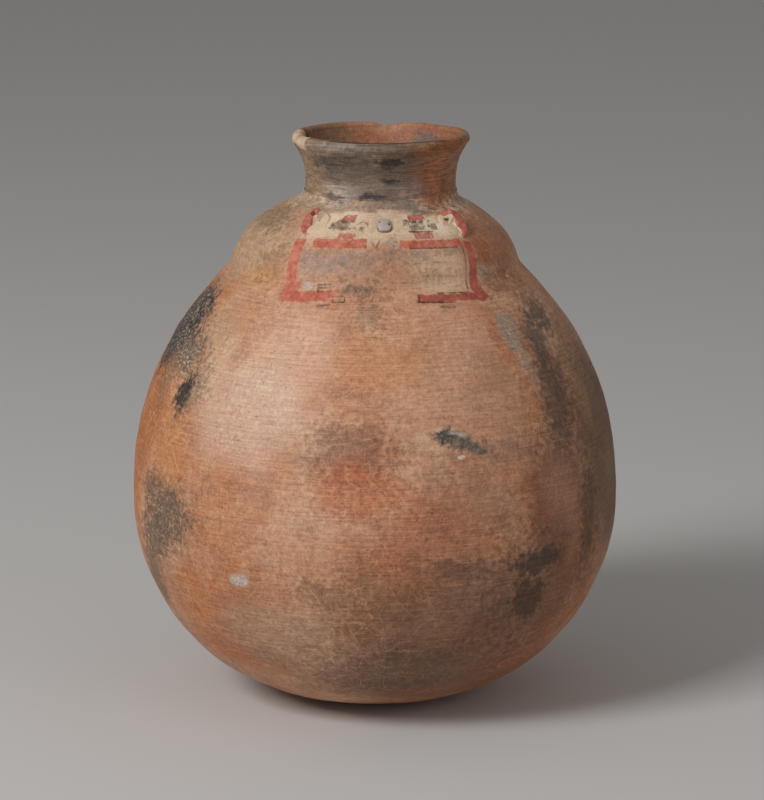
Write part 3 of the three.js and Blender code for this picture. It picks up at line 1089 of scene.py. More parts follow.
@dataclass
class Ear:
    """Crescent ear pinched from a pellet, curling over at the top, pierced, hollow towards the face.

    A raised band runs round it from band_starts to band_ends, and a thin web fills it. Angles are
    degrees from the side away from the face, and names with share or times count in edge or hole
    radii. Everything else is in millimetres.
    """

    walls: TurnedWalls
    name: str
    side: Flank
    azimuth: float
    height: float
    hole_away: float
    hole_up: float
    slip_end: Span
    hole_ring: float
    countersink: float = 0.5
    hole_radius: float = 1.7
    hole_depth: float = 5.5
    low_end: Span = (84.0, 118.0)
    low_share: float = 0.22
    slip_narrow: float = 3.2
    half_width: float = 11.5
    upper_half: float = 15.5
    lower_half: float = 13.0
    band_angles: tuple[float, ...] = (-70.0, -40.0, 0.0, 45.0, 107.0, 140.0)
    band_widths: tuple[float, ...] = (3.0, 6.0, 9.0, 9.0, 9.5, 7.0)
    band_starts: Span = (-98.0, -62.0)
    band_ends: Span = (128.0, 168.0)
    band_foot: Span = (-3.0, 2.0)
    band_hollow: float = 0.9
    band_flat: float = 2.0
    edge_drop: float = 0.9
    edge_round: float = 1.3
    web_reach: float = 9.5
    web_swell: float = 0.55
    web_share: float = 0.45
    web_sunk: float = 0.35
    sunk_share: float = 0.6
    lumps_share: float = 0.2
    sink_times: float = 2.2
    hole_soft: float = 0.35
    hole_web: float = 0.3
    hole_through: float = 1.5
    ring_times: Span = (1.9, 2.3)
    skirt_down: tuple[float, ...] = (0.25, 0.6, 1.0)
    skirt_out: tuple[float, ...] = (0.25, 0.5, 1.3)
    skirt_sunk: float = 0.5
    skirt_least: float = 0.2
    slip_turn: Span = (35.0, 85.0)
    slip_soft: Span = (-1.6, 1.0)
    # How far the slip layer drops in the bored hole, which gives the hole painted shade.
    hole_shade: float = 2.0
    proud: float = 4.5
    tilt: float = 35.0
    first_angle: float = -110.0
    first_share: float = 0.012
    rows: int = 84
    columns: int = 200
    lumps: HandWork = HandWork(seed=41, layers=((9.0, 0.14), (3.5, 0.05)))

    def angles(self) -> Array:
        """Angles of the grid's columns, in degrees from the side away from the face."""
        return np.arange(self.columns) * 360.0 / self.columns + self.first_angle

    def outline(self, angle: Array) -> tuple[Array, Array, Array]:
        """Edge of the ear.

        Args:
            angle: Degrees, over one whole turn.

        Returns:
            The radius of the edge, how much of the band stands there, and the band's width.
        """
        turn = np.radians(angle)
        half = np.where(np.sin(turn) > 0.0, self.upper_half, self.lower_half)
        flange = np.hypot(self.half_width * np.cos(turn), half * np.sin(turn))
        stands = soft_step(angle, *self.band_starts) * (1.0 - soft_step(angle, *self.band_ends))
        radius = flange * stands + self.web_reach * (1.0 - stands)
        return radius, stands, np.interp(angle, self.band_angles, self.band_widths)

    def mesh(self) -> ClayMesh:
        """Closed pinched form, sunk a hair into the wall that it was pressed on.

        Returns:
            The closed piece.
        """
        spot = Applique(self.walls, self.azimuth, self.height, self.tilt)
        angle = self.angles()
        edge, stands, band = self.outline(angle)
        turn = np.radians(angle)
        way = np.stack([np.cos(turn), np.sin(turn)])
        half = np.where(np.sin(turn) > 0.0, self.upper_half, self.lower_half)
        bend = np.stack([self.half_width * np.cos(turn), half * np.sin(turn)])
        bend /= np.linalg.norm(bend, axis=0)
        way = bend * stands + way * (1.0 - stands)
        way /= np.linalg.norm(way, axis=0)
        share = np.linspace(self.first_share, 1.0, self.rows)[:, None]
        reach = edge * share
        away, up = reach * way[0], reach * way[1]
        wall = spot.wall(self.side * away, up)
        flat_end = 1.0 - (1.0 - self.low_share) * soft_step(angle, *self.low_end)
        inner = edge - band
        low, high = self.band_foot
        raised = soft_step(reach, inner + low, inner + high) * stands * flat_end
        flat = soft_step(reach, inner, edge - self.band_flat)
        face = self.proud - self.band_hollow * (1.0 - flat)
        face = face - self.edge_drop * soft_step(reach, edge - self.edge_round, edge) ** 2
        web = self.web_swell * (1.0 - soft_step(reach, self.web_share * edge, edge))
        web = web - self.web_sunk * soft_step(share, self.sunk_share, 1.0)
        out = wall + np.maximum(raised * (face - wall), web)
        lumps = self.lumps.relief(spot.place(self.side * away, up, out))
        out = out + lumps * soft_step(share, 0.0, self.lumps_share)
        hole = self.hole_radius
        from_hole = np.hypot(away - self.hole_away, up - self.hole_up)
        sink = self.countersink * (1.0 - soft_step(from_hole, hole, self.sink_times * hole))
        bored = 1.0 - soft_step(from_hole, hole - self.hole_soft, hole + self.hole_soft)
        floor = np.maximum(out - wall - self.hole_web, 0.0) + self.hole_through * bored
        out = out - sink - np.minimum(bored * self.hole_depth, floor)
        rim_away, rim_up, rim_out = away[-1:], up[-1:], out[-1:]
        flare = 1.0 + np.array(self.skirt_out)[:, None] / edge[None, :]
        skirt_away, skirt_up = rim_away * flare, rim_up * flare
        ground = spot.wall(self.side * skirt_away, skirt_up) - self.skirt_sunk
        fall = np.minimum(ground, rim_out - self.skirt_least) - rim_out
        skirt_face = rim_out + fall * np.array(self.skirt_down)[:, None]
        points = spot.place(
            self.side * np.concatenate([away, skirt_away]),
            np.concatenate([up, skirt_up]),
            np.concatenate([out, skirt_face]),
        )
        bare = inner + self.slip_narrow * soft_step(angle, *self.slip_turn)
        low, high = self.slip_soft
        covered = stands * (1.0 - soft_step(angle, *self.slip_end))
        slip = soft_step(reach, bare + low, bare + high) * covered
        low, high = (times * hole for times in self.ring_times)
        slip = np.maximum(slip - self.hole_ring * (1.0 - soft_step(from_hole, low, high)), 0.0)
        skirt_slip = np.broadcast_to(covered, skirt_away.shape)
        # In the bored hole the slip layer drops below zero, which the finish draws as painted shade.
        slip = np.concatenate([slip - self.hole_shade * bored, skirt_slip])
        if self.side is Flank.RIGHT:
            points, slip = points[::-1], slip[::-1]
        slip = np.append(slip, (0.0, 0.0))
        return spot.press(self.name, points, slip, self.web_swell, tip_first=self.side is Flank.LEFT)


@dataclass
class Nose:
    """Nose: a pressed pellet with a broad foot, a round top and two nostril dents.

    Shares are of its edge, 0 in the middle and 1 at the foot. Each dent is a distance across, one up
    and a depth. Lengths are in millimetres.
    """

    walls: TurnedWalls
    name: str = "nose_pellet"
    azimuth: float = 4.0
    height: float = 425.5
    foot_width: float = 14.5
    top_taper: float = 0.72
    length: float = 17.0
    proud: float = 4.0
    squareness: float = 2.5
    dents: tuple[Triple, ...] = ((4.4, -0.6, 1.3), (-3.6, 1.6, 0.8))
    dent_radius: float = 1.7
    dent_flat: float = 0.3
    dent_squash: float = 0.6
    dent_shade_flat: float = 0.2
    # Painted shade in the nostril dents: full within a flat middle, gone at a share of the dent's radius,
    # and how strongly it lowers the slip layer.
    dent_shade_reach: float = 0.8
    dent_shade_depth: float = 1.6
    top_round: Span = (2.8, 0.55)
    lower_fuller: float = 0.12
    lumps_share: float = 0.2
    foot_flare: float = 1.04
    bare_share: float = 0.84
    last_share: float = 0.02
    rows: int = 40
    columns: int = 120
    lumps: HandWork = HandWork(seed=43, layers=((7.0, 0.16), (3.0, 0.06)))

    def mesh(self) -> ClayMesh:
        """Closed pellet, sunk a hair into the wall that it was pressed on.

        Returns:
            The closed piece.
        """
        spot = Applique(self.walls, self.azimuth, self.height, self.walls.tilt_at(self.height))
        turn = np.arange(self.columns) * math.tau / self.columns
        square = 2.0 / self.squareness
        edge_up = self.length / 2.0 * np.sign(np.sin(turn)) * np.abs(np.sin(turn)) ** square
        taper = 1.0 + (self.top_taper - 1.0) * (edge_up / self.length + 0.5)
        sign = np.sign(np.cos(turn))
        edge_across = self.foot_width / 2.0 * taper * sign * np.abs(np.cos(turn)) ** square
        share = np.linspace(1.0, self.last_share, self.rows)[:, None]
        across, up = edge_across * share, edge_up * share
        wall = spot.wall(across, up)
        swell = self.proud * (1.0 - share ** self.top_round[0]) ** self.top_round[1]
        fuller = 1.0 + self.lower_fuller * (-up / self.length)
        out = wall + swell * fuller
        # Each nostril dent gets painted shade, strongest in its middle.
        shade_and_grime = np.zeros(across.shape)
        for side, level, depth in self.dents:
            away = np.hypot(across - side, (up - level) * self.dent_squash)
            out = out - depth * (1.0 - soft_step(away, self.dent_flat, self.dent_radius))
            reach = self.dent_shade_reach * self.dent_radius
            shade_and_grime = np.maximum(shade_and_grime, depth * (1.0 - soft_step(away, self.dent_shade_flat, reach)))
        lumps = self.lumps.relief(spot.place(across, up, out))
        out = out + lumps * soft_step(share, 0.0, self.lumps_share)
        flare = self.foot_flare
        under = spot.place(across[:1] * flare, up[:1] * flare, wall[:1] - spot.root)
        points = np.concatenate([under, spot.place(across, up, out)])
        # Round the dents the slip layer drops below zero, which the finish draws as painted shade.
        slip = 1.0 - soft_step(share, self.bare_share, 1.0) - self.dent_shade_depth * shade_and_grime
        slip = np.concatenate([slip[:1], slip])
        return spot.press(self.name, points, np.append(slip, (1.0, 0.0)), self.proud, tip_first=False)


Socket = bpy.types.NodeSocket


class NodeSheet:
    """Node tree of one material."""

    def __init__(self, name: str) -> None:
        """Starts a material with an empty tree.

        Args:
            name: Real material and process that it stands for.
        """
        self.material = bpy.data.materials.new(name)
        self.material.use_nodes = True
        self.tree = self.material.node_tree
        self.tree.nodes.clear()

    def add(self, kind: str, inputs: dict[int | str, Any] | tuple[Any, ...], out: int = 0,
            slots: tuple[int, ...] = (0, 1, 2, 3, 4), **settings: Any) -> Any:
        """Adds a node with its settings and links.

        Args:
            kind: Type of the node, without its ShaderNode prefix.
            inputs: Value or socket for each input, by number or name, or in the order of slots.
            out: Output to hand back.
            slots: Numbers of the inputs that go by order.
            settings: Properties of the node.

        Returns:
            The chosen output socket, or None if the node has none.
        """
        node = self.tree.nodes.new("ShaderNode" + kind)
        for setting, value in settings.items():
            setattr(node, setting, value)
        named = inputs if isinstance(inputs, dict) else dict(zip(slots, inputs))
        for name, value in named.items():
            if isinstance(value, Socket):
                self.tree.links.new(value, node.inputs[name])
            else:
                node.inputs[name].default_value = value
        return node.outputs[out] if len(node.outputs) else None


def pattern(place: Socket, size: float, detail: float = 2.0, rough: float = 0.5) -> dict[str, Any]:
    """Inputs of a noise or of cells, whose marks are so many millimetres large."""
    return {"Vector": place, "Scale": 1.0 / (size * MILLIMETRE), "Detail": detail, "Roughness": rough}


# A colour mix takes its share, the colour under and the colour over. A MapRange takes its value, the
# span that it reads and what it gives at the two ends of that span. A noise lies between 0.3 and 0.7
# nearly everywhere, so the span read from it says how much it covers.
COLOUR_MIX: dict[str, Any] = {"out": 2, "slots": (0, 6, 7), "data_type": "RGBA"}
SMOOTH: dict[str, Any] = {"interpolation_type": "SMOOTHSTEP"}
OBJECT_PLACE, OBJECT_NORMAL, NOISE_COLOUR, VECTOR_VALUE, ATTRIBUTE_VALUE = 3, 1, 1, 1, 2

# Radius in millimetres at which the panel is unrolled, and the half size up to which a tint's edge
# is fully ragged.
PANEL_RADIUS = 109.0
RAGGED_REACH = 22.0


@dataclass(frozen=True)
class Canvas:
    """Node tree of a wall's finish, with the sockets that its layers share.

    Place is the object position, plane the position on the unrolled panel and wandering the position
    that tints go by, in metres. Outside is the share of the outer face. Ragged shifts a tint's edge,
    and ash and grain are fine noises.
    """

    sheet: NodeSheet
    walls: TurnedWalls
    low: float
    high: float
    place: Socket
    outside: Socket
    plane: Socket
    wandering: Socket
    ragged: Socket
    ash: Socket
    grain: Socket


@dataclass(frozen=True)
class Tint:
    """Soft-edged area in another colour: mostly what the fire, wear or handling left, in places painted
    shade.

    Wide runs round the jar and tall runs up the wall, both as half sizes in millimetres, and deep is
    the least half size into the wall.
    """

    azimuth: float
    height: float
    wide: float
    tall: float
    colour: str
    strength: float
    turn: float = 0.0
    edge: float = 0.8
    fleck: str = ""
    deep: float = 24.0

    def reach(self) -> float:
        """Largest distance up or down the wall that it can cover."""
        return max(self.wide, self.tall) * (1.0 + self.edge / 2.0)

    def lay(self, canvas: Canvas, under: Socket) -> Socket:
        """Lays the tint over a colour, if the piece is within its reach.

        Args:
            canvas: Node tree and shared sockets.
            under: Colour underneath.

        Returns:
            Socket of the new colour.
        """
        if not canvas.low - self.reach() <= self.height <= canvas.high + self.reach():
            return under
        add = canvas.sheet.add
        spot = Applique(canvas.walls, self.azimuth, self.height, canvas.walls.tilt_at(self.height))
        angle = math.radians(self.turn)
        along_it = spot.side * math.cos(angle) + spot.up * math.sin(angle)
        across_it = np.cross(spot.looks, along_it)
        axes = Matrix([axis.tolist() for axis in (along_it, across_it, spot.looks)]).transposed()
        largest = max(self.wide, self.tall)
        size = np.array([self.wide, self.tall, max(largest, self.deep)]) * MILLIMETRE
        local = add("Mapping", {
            "Vector": canvas.wandering, "Location": (spot.middle * MILLIMETRE).tolist(),
            "Rotation": axes.to_euler(), "Scale": size.tolist(),
        }, vector_type="TEXTURE")
        away = add("VectorMath", (local,), VECTOR_VALUE, operation="LENGTH")
        finer = min(1.0, RAGGED_REACH / largest)
        away = add("Math", (canvas.ragged, finer, away), operation="MULTIPLY_ADD")
        half = self.edge / 2.0
        share = add("MapRange", (away, 1.0 + half, 1.0 - half, 0.0, self.strength), **SMOOTH)
        own = linear(self.colour)
        if self.fleck:
            own = add("Mix", (canvas.ash, own, linear(self.fleck)), **COLOUR_MIX)
        return add("Mix", (share, under, own), **COLOUR_MIX)


@dataclass(frozen=True)
class Stroke:
    """Straight brush stroke or line on the panel.

    Its middle is an azimuth and a height. Its half length and half width are in millimetres on the
    unrolled panel, and its turn is the angle of its length over the level.
    """

    azimuth: float
    height: float
    long: float
    wide: float
    turn: float = 0.0


@dataclass(frozen=True)
class Paint:
    """Slip or line of one colour, with rows that make its strokes, and its wear.

    Edge is the half width of its soft edge in millimetres. Paint thins out where the wear's noise is
    lower than wear, within wear_edge of it, down to the least share that is kept. Shake is how much
    of the painter's unsteady hand shows.
    """

    layer: str
    colour: str
    shade: str
    strokes: tuple[tuple[float, ...], ...]
    edge: float = 0.5
    wear: float = 0.3
    strength: float = 1.0
    shake: float = 1.0
    wear_edge: float = 0.12
    least: float = 0.2

    def mark(self, clay: ClayMesh, jar: JarOutline) -> None:
        """Notes on a piece how far each point lies outside the nearest stroke.

        Args:
            clay: Piece whose points are all there.
            jar: Sizes of the jar.
        """
        points = np.concatenate(clay.points)
        turn = np.arctan2(points[:, 0] - jar.lean(points[:, 2]), -points[:, 1])
        nearest = np.full(len(points), PANEL_RADIUS)
        for stroke in (Stroke(*row) for row in self.strokes):
            angle = math.radians(stroke.turn)
            across = (turn - math.radians(stroke.azimuth)) * PANEL_RADIUS
            up = points[:, 2] - stroke.height
            along_it = np.abs(across * math.cos(angle) + up * math.sin(angle)) - stroke.long
            beside_it = np.abs(up * math.cos(angle) - across * math.sin(angle)) - stroke.wide
            nearest = np.minimum(nearest, np.maximum(along_it, beside_it))
        clay.layers[self.layer] = nearest

    def lay(self, sheet: NodeSheet, hand: tuple[Socket, Socket, Socket], under: Socket) -> Socket:
        """Lays the paint over a colour.

        Args:
            sheet: Node tree to add to.
            hand: Millimetres by which the hand shook, where paint wears off, and the mix of shades.
            under: Colour underneath.

        Returns:
            Socket of the new colour.
        """
        add = sheet.add
        shaken, worn, mottle = hand
        near = add("Attribute", {}, ATTRIBUTE_VALUE, attribute_name=self.layer)
        near = add("Math", (shaken, self.shake, near), operation="MULTIPLY_ADD")
        share = add("MapRange", (near, self.edge, -self.edge, 0.0, self.strength), **SMOOTH)
        low, high = self.wear - self.wear_edge, self.wear + self.wear_edge
        kept = add("MapRange", (worn, low, high, self.least, 1.0))
        share = add("Math", (share, kept), operation="MULTIPLY")
        colour = add("Mix", (mottle, linear(self.colour), linear(self.shade)), **COLOUR_MIX)
        return add("Mix", (share, under, colour), **COLOUR_MIX)


@dataclass(frozen=True)
class FiredClay:
    """Coil-built earthenware, scraped, wiped and fired in an open fire.

    The open fire gives the eye soft clouds from orange to buff and brown, wiping gives fine level
    streaks, and roots in the ground have left thin pale marks on the lower two thirds. Some of the
    dark tints also paint shade, low down and on the right. Sand gives a fine mottle on a half-matt
    face, and temper gives dark specks.

    Sizes are millimetres. A pixel of the reference view is about 1 mm, and sand, temper and ash are
    0.2 to 0.8 mm, so they are drawn about 2 mm, as coarse as they need to show. The streaks are as
    wide as their size over streak_times, about 1.6 mm, where the cloth's own lines are finer too.
    A wander is the size of a noise and how far it pushes. A root cell is a size, a shift that makes
    it another pattern, and half the width of a root. Root_sides are the places along +X where root
    marks are dense and where they are sparse. Turned_in is the span over which a face that looks
    outwards is taken for the outside.
    """

    name: str
    pale: str = "d3a788"
    warm: str = "bd7b54"
    dull: str = "93664a"
    streak: float = 0.1
    streak_size: float = 22.0
    streak_times: float = 14.0
    sand: float = 0.6
    sand_size: float = 2.3
    grit_size: float = 1.7
    grain_size: float = 5.0
    ash_size: float = 2.5
    cloud_size: float = 95.0
    blotch_size: float = 27.0
    blotch: float = 0.62
    wander: tuple[Span, ...] = ((48.0, 26.0), (13.0, 7.0))
    roots: float = 0.46
    root_tint: str = "e3b48a"
    root_bend: Span = (30.0, 16.0)
    root_cells: tuple[Triple, ...] = (
        (19.0, 0.0, 0.4), (12.0, 0.37, 0.3), (31.0, 0.81, 0.36),
    )
    root_gaps: float = 0.62
    root_sides: Span = (-20.0, 90.0)
    root_sparse: float = 0.14
    turned_in: Span = (-0.15, 0.05)
    speck: str = "54392c"
    speck_size: float = 2.6
    speck_share: float = 0.55
    inside: str = "9c6a4a"
    hand_size: float = 5.0
    hand_shake: float = 1.1
    wear_size: float = 4.2
    shade_size: float = 11.0
    roughness: float = 0.56
    bump_depth: float = 0.45
    tints: tuple[Tint, ...] = ()
    inner_tints: tuple[Tint, ...] = ()
    paints: tuple[Paint, ...] = ()

    def material(self, walls: TurnedWalls, low: float, high: float) -> bpy.types.Material:
        """Node tree of the finish for one piece.

        Args:
            walls: Walls that the tints lie on.
            low: Lowest height of the piece.
            high: Highest height of the piece.

        Returns:
            The material.
        """
        canvas = self.canvas(walls, low, high)
        add, place = canvas.sheet.add, canvas.place
        broad = add("TexNoise", pattern(place, self.cloud_size, 5.0, 0.6))
        share = add("MapRange", (broad, 0.36, 0.64))
        colour = add("Mix", (share, linear(self.pale), linear(self.warm)), **COLOUR_MIX)
        blotch = add("TexNoise", pattern(place, self.blotch_size, 6.0, 0.68))
        share = add("MapRange", (blotch, 0.47, 0.72, 0.0, self.blotch))
        colour = add("Mix", (share, colour, linear(self.dull)), **COLOUR_MIX)
        for tint in self.tints:
            colour = tint.lay(canvas, colour)
        flat = add("Mapping", {"Vector": canvas.plane, "Scale": (1.0, self.streak_times, 1.0)})
        streaks = add("TexNoise", pattern(flat, self.streak_size, 5.0, 0.66))
        streaks = add("MapRange", (streaks, 0.3, 0.7))
        colour = add("Mix", (self.streak, colour, streaks), blend_type="OVERLAY", **COLOUR_MIX)
        roots = self.root_marks(canvas)
        colour = add("Mix", (roots, colour, linear(self.root_tint)), **COLOUR_MIX)
        if self.paints:
            colour = self.painted(canvas, colour)
        inner = add("Mix", (canvas.grain, linear(self.dull), linear(self.inside)), **COLOUR_MIX)
        for tint in self.inner_tints:
            inner = tint.lay(canvas, inner)
        colour = add("Mix", (canvas.outside, inner, colour), **COLOUR_MIX)
        self.surface(canvas, colour, streaks, roots)
        return canvas.sheet.material

    def canvas(self, walls: TurnedWalls, low: float, high: float) -> Canvas:
        """Starts the node tree with the positions and noises that the layers share.

        Args:
            walls: Walls that the tints lie on.
            low: Lowest height of the piece.
            high: Highest height of the piece.

        Returns:
            The tree and its sockets.
        """
        sheet = NodeSheet(self.name)
        add = sheet.add
        place = add("TexCoord", {}, OBJECT_PLACE)
        jar = walls.outline
        x = add("SeparateXYZ", (place,))
        y, z = x.node.outputs[1], x.node.outputs[2]
        lean = add("MapRange", (
            z, jar.lean_start * MILLIMETRE, jar.lean_end * MILLIMETRE,
            0.0, jar.sideways_lean * MILLIMETRE,
        ), **SMOOTH)
        x = add("Math", (x, lean), operation="SUBTRACT")
        front = add("Math", (y, -1.0), operation="MULTIPLY")
        turn = add("Math", (x, front), operation="ARCTAN2")
        around = add("Math", (turn, PANEL_RADIUS * MILLIMETRE), operation="MULTIPLY")
        plane = add("CombineXYZ", (around, z))
        outwards = add("CombineXYZ", (x, y))
        outwards = add("VectorMath", (outwards,), operation="NORMALIZE")
        looks = place.node.outputs[OBJECT_NORMAL]
        facing = add("VectorMath", (looks, outwards), VECTOR_VALUE, operation="DOT_PRODUCT")
        outside = add("MapRange", (facing, *self.turned_in))
        wandering = place
        for size, push in self.wander:
            noise = add("TexNoise", pattern(wandering, size, 2.0), NOISE_COLOUR)
            noise = add("VectorMath", (noise, (0.5, 0.5, 0.5)), operation="SUBTRACT")
            noise = add("VectorMath", {0: noise, "Scale": push * MILLIMETRE}, operation="SCALE")
            wandering = add("VectorMath", (wandering, noise), operation="ADD")
        grain = add("TexNoise", pattern(place, self.grain_size, 5.0, 0.62))
        ragged = add("MapRange", (grain, 0.25, 0.75, -0.6, 0.6))
        ash = add("TexNoise", pattern(place, self.ash_size, 4.0, 0.7))
        ash = add("MapRange", (ash, 0.52, 0.68))
        return Canvas(sheet, walls, low, high, place, outside, plane, wandering, ragged, ash, grain)

    def painted(self, canvas: Canvas, colour: Socket) -> Socket:
        """Lays the panel's paints over the clay, with shaky edges and worn patches.

        Args:
            canvas: Node tree and shared sockets.
            colour: Colour underneath.

        Returns:
            Socket of the new colour.
        """
        add, place = canvas.sheet.add, canvas.place
        shaken = add("TexNoise", pattern(place, self.hand_size, 4.0, 0.6))
        shaken = add("MapRange", (shaken, 0.25, 0.75, -self.hand_shake, self.hand_shake))
        worn = add("TexNoise", pattern(place, self.wear_size, 5.0, 0.72))
        worn = add("MapRange", (worn, 0.28, 0.72))
        mottle = add("TexNoise", pattern(place, self.shade_size, 4.0))
        mottle = add("MapRange", (mottle, 0.35, 0.65))
        for paint in self.paints:
            colour = paint.lay(canvas.sheet, (shaken, worn, mottle), colour)
        return colour

    def root_marks(self, canvas: Canvas) -> Socket:
        """Share of the thin pale marks left by roots: bent edges of cells, mostly broken off.

        Args:
            canvas: Node tree and shared sockets.

        Returns:
            Socket of the share.
        """
        add, place = canvas.sheet.add, canvas.place
        size, push = self.root_bend
        bend = add("TexNoise", pattern(place, size, 2.0), NOISE_COLOUR)
        bend = add("VectorMath", {0: bend, "Scale": push * MILLIMETRE}, operation="SCALE")
        bent = add("VectorMath", (place, bend), operation="ADD")
        both = None
        for size, shift, half_width in self.root_cells:
            moved = add("VectorMath", (bent, (shift, shift, shift)), operation="ADD")
            cells = add("TexVoronoi", pattern(moved, size, 0.0), feature="DISTANCE_TO_EDGE")
            line = add("MapRange", (cells, half_width / size, 0.25 * half_width / size))
            gaps = add("TexNoise", pattern(moved, size * self.root_gaps, 1.5))
            shown = add("MapRange", (gaps, 0.46, 0.62))
            line = add("Math", (line, shown), operation="MULTIPLY")
            both = line if both is None else add("Math", (both, line), operation="MAXIMUM")
        sideways = add("SeparateXYZ", (place,))
        dense, sparse = (side * MILLIMETRE for side in self.root_sides)
        kept = add("MapRange", (sideways, dense, sparse, self.roots, self.root_sparse * self.roots))
        return add("Math", (both, kept), operation="MULTIPLY")

    def surface(self, canvas: Canvas, colour: Socket, streaks: Socket, roots: Socket) -> None:
        """Shader of the wiped, half-matt face, with its mottle of sand and its specks of temper.

        Grit, streaks and root marks stand up a little.

        Args:
            canvas: Node tree and shared sockets.
            colour: Colour under the mottle.
            streaks: Socket of the wiping streaks.
            roots: Socket of the root marks.
        """
        add, place, grain = canvas.sheet.add, canvas.place, canvas.grain
        sand = add("TexNoise", pattern(place, self.sand_size, 3.0, 0.7))
        both = add("Math", (grain, sand), operation="ADD")
        fine = add("MapRange", (both, 0.72, 1.28, 0.24, 0.76))
        grey = add("CombineXYZ", (fine, fine, fine))
        colour = add("Mix", (self.sand, colour, grey), blend_type="OVERLAY", **COLOUR_MIX)
        grains = add("TexNoise", pattern(place, self.speck_size, 2.0, 0.7))
        share = add("MapRange", (grains, 0.62, 0.74, 0.0, self.speck_share))
        colour = add("Mix", (share, colour, linear(self.speck)), **COLOUR_MIX)
        grit = add("TexNoise", pattern(place, self.grit_size, 3.0, 0.6))
        height = add("Math", (grit, 0.35, grain), operation="MULTIPLY_ADD")
        height = add("Math", (streaks, self.streak, height), operation="MULTIPLY_ADD")
        height = add("Math", (roots, 0.25, height), operation="MULTIPLY_ADD")
        bump = add("Bump", {"Strength": 0.55, "Distance": self.bump_depth * MILLIMETRE, "Height": height})
        rough = add("MapRange", (grain, 0.3, 0.7, self.roughness - 0.07, self.roughness + 0.1))
        shader = add("BsdfPrincipled", {
            "Base Color": colour, "Roughness": rough, "Normal": bump, "Specular IOR Level": 0.34,
        })
        add("OutputMaterial", (shader,))


@dataclass(frozen=True)
class PressedSlip:
    """Slip brushed on a pressed-on piece of clay, worn off its edges, with dark specks and with
    painted shade in the ear's hole and the nose's dents.

    It gives the eye a matt, uneven coat with the clay showing at the edges. Its worn patches are
    3.6 mm, and its brush grain, finer than 1 mm in truth, is drawn 1.4 mm so that it shows.
    """

    name: str
    slip: str
    worn_slip: str
    clay: str
    # Colour of the painted shade in the ear's hole and the nose's dents, and of the dark specks of the
    # grain.
    shade_and_grime: str = "38271e"
    roughness: float = 0.6
    patch_size: float = 3.6
    grain_size: float = 1.4

    def material(self) -> bpy.types.Material:
        """Node tree of the finish, which reads where slip lies from the piece's own layer.

        Returns:
            The material.
        """
        sheet = NodeSheet(self.name)
        add = sheet.add
        place = add("TexCoord", {}, OBJECT_PLACE)
        laid = add("Attribute", {}, ATTRIBUTE_VALUE, attribute_name=SLIP_AND_SHADE_LAYER)
        patches = add("TexNoise", pattern(place, self.patch_size, 4.0, 0.65))
        shift = add("MapRange", (patches, 0.3, 0.7, -0.3, 0.3))
        edge = add("Math", (laid, shift), operation="ADD")
        share = add("MapRange", (edge, 0.42, 0.6))
        grain = add("TexNoise", pattern(place, self.grain_size, 4.0))
        mottle = add("MapRange", (patches, 0.4, 0.66))
        slip = add("Mix", (mottle, linear(self.slip), linear(self.worn_slip)), **COLOUR_MIX)
        colour = add("Mix", (share, linear(self.clay), slip), **COLOUR_MIX)
        # Below zero the slip layer marks the ear's hole and the nose's dents, which get painted shade in
        # the dark colour; dark specks follow the grain.
        shade_and_pits = add("MapRange", (laid, -0.2, -1.0, 0.0, 0.92))
        pits = add("MapRange", (grain, 0.6, 0.74, 0.0, 0.6))
        shade_and_pits = add("Math", (shade_and_pits, pits), operation="MAXIMUM")
        colour = add("Mix", (shade_and_pits, colour, linear(self.shade_and_grime)), **COLOUR_MIX)
        height = add("Math", (grain, 0.5, patches), operation="MULTIPLY_ADD")
        bump = add("Bump", {"Strength": 0.5, "Distance": 0.4 * MILLIMETRE, "Height": height})
        shader = add("BsdfPrincipled", {
            "Base Color": colour, "Roughness": self.roughness, "Normal": bump,
            "Specular IOR Level": 0.34,
        })
        add("OutputMaterial", (shader,))
        return sheet.material


@dataclass(frozen=True)
class SandedPlaster:
    """Fill plaster, sanded flush and left unpainted, which gives the eye a pale, matt patch.

    Its stains are 9 mm, and its pits, finer than 1 mm in truth, are drawn 1.6 mm so that they show.
    """

    name: str = "Sanded plaster fill, unpainted"
    plaster: str = "dcc3a6"
    stain: str = "b89878"
    pits: str = "7d6350"
    stain_size: float = 9.0
    pit_size: float = 1.6
    roughness: float = 0.8

    def material(self) -> bpy.types.Material:
        """Node tree of the finish.

        Returns:
            The material.
        """
        sheet = NodeSheet(self.name)
        add = sheet.add
        place = add("TexCoord", {}, OBJECT_PLACE)
        cloud = add("TexNoise", pattern(place, self.stain_size, 4.0, 0.6))
        share = add("MapRange", (cloud, 0.42, 0.7))
        colour = add("Mix", (share, linear(self.plaster), linear(self.stain)), **COLOUR_MIX)
        holes = add("TexNoise", pattern(place, self.pit_size, 2.0))
        pitted = add("MapRange", (holes, 0.62, 0.7, 0.0, 0.7))
        colour = add("Mix", (pitted, colour, linear(self.pits)), **COLOUR_MIX)
        bump = add("Bump", {"Strength": 0.6, "Distance": 0.5 * MILLIMETRE, "Height": holes})
        shader = add("BsdfPrincipled", {
            "Base Color": colour, "Roughness": self.roughness, "Normal": bump,
            "Specular IOR Level": 0.2,
        })
        add("OutputMaterial", (shader,))
        return sheet.material
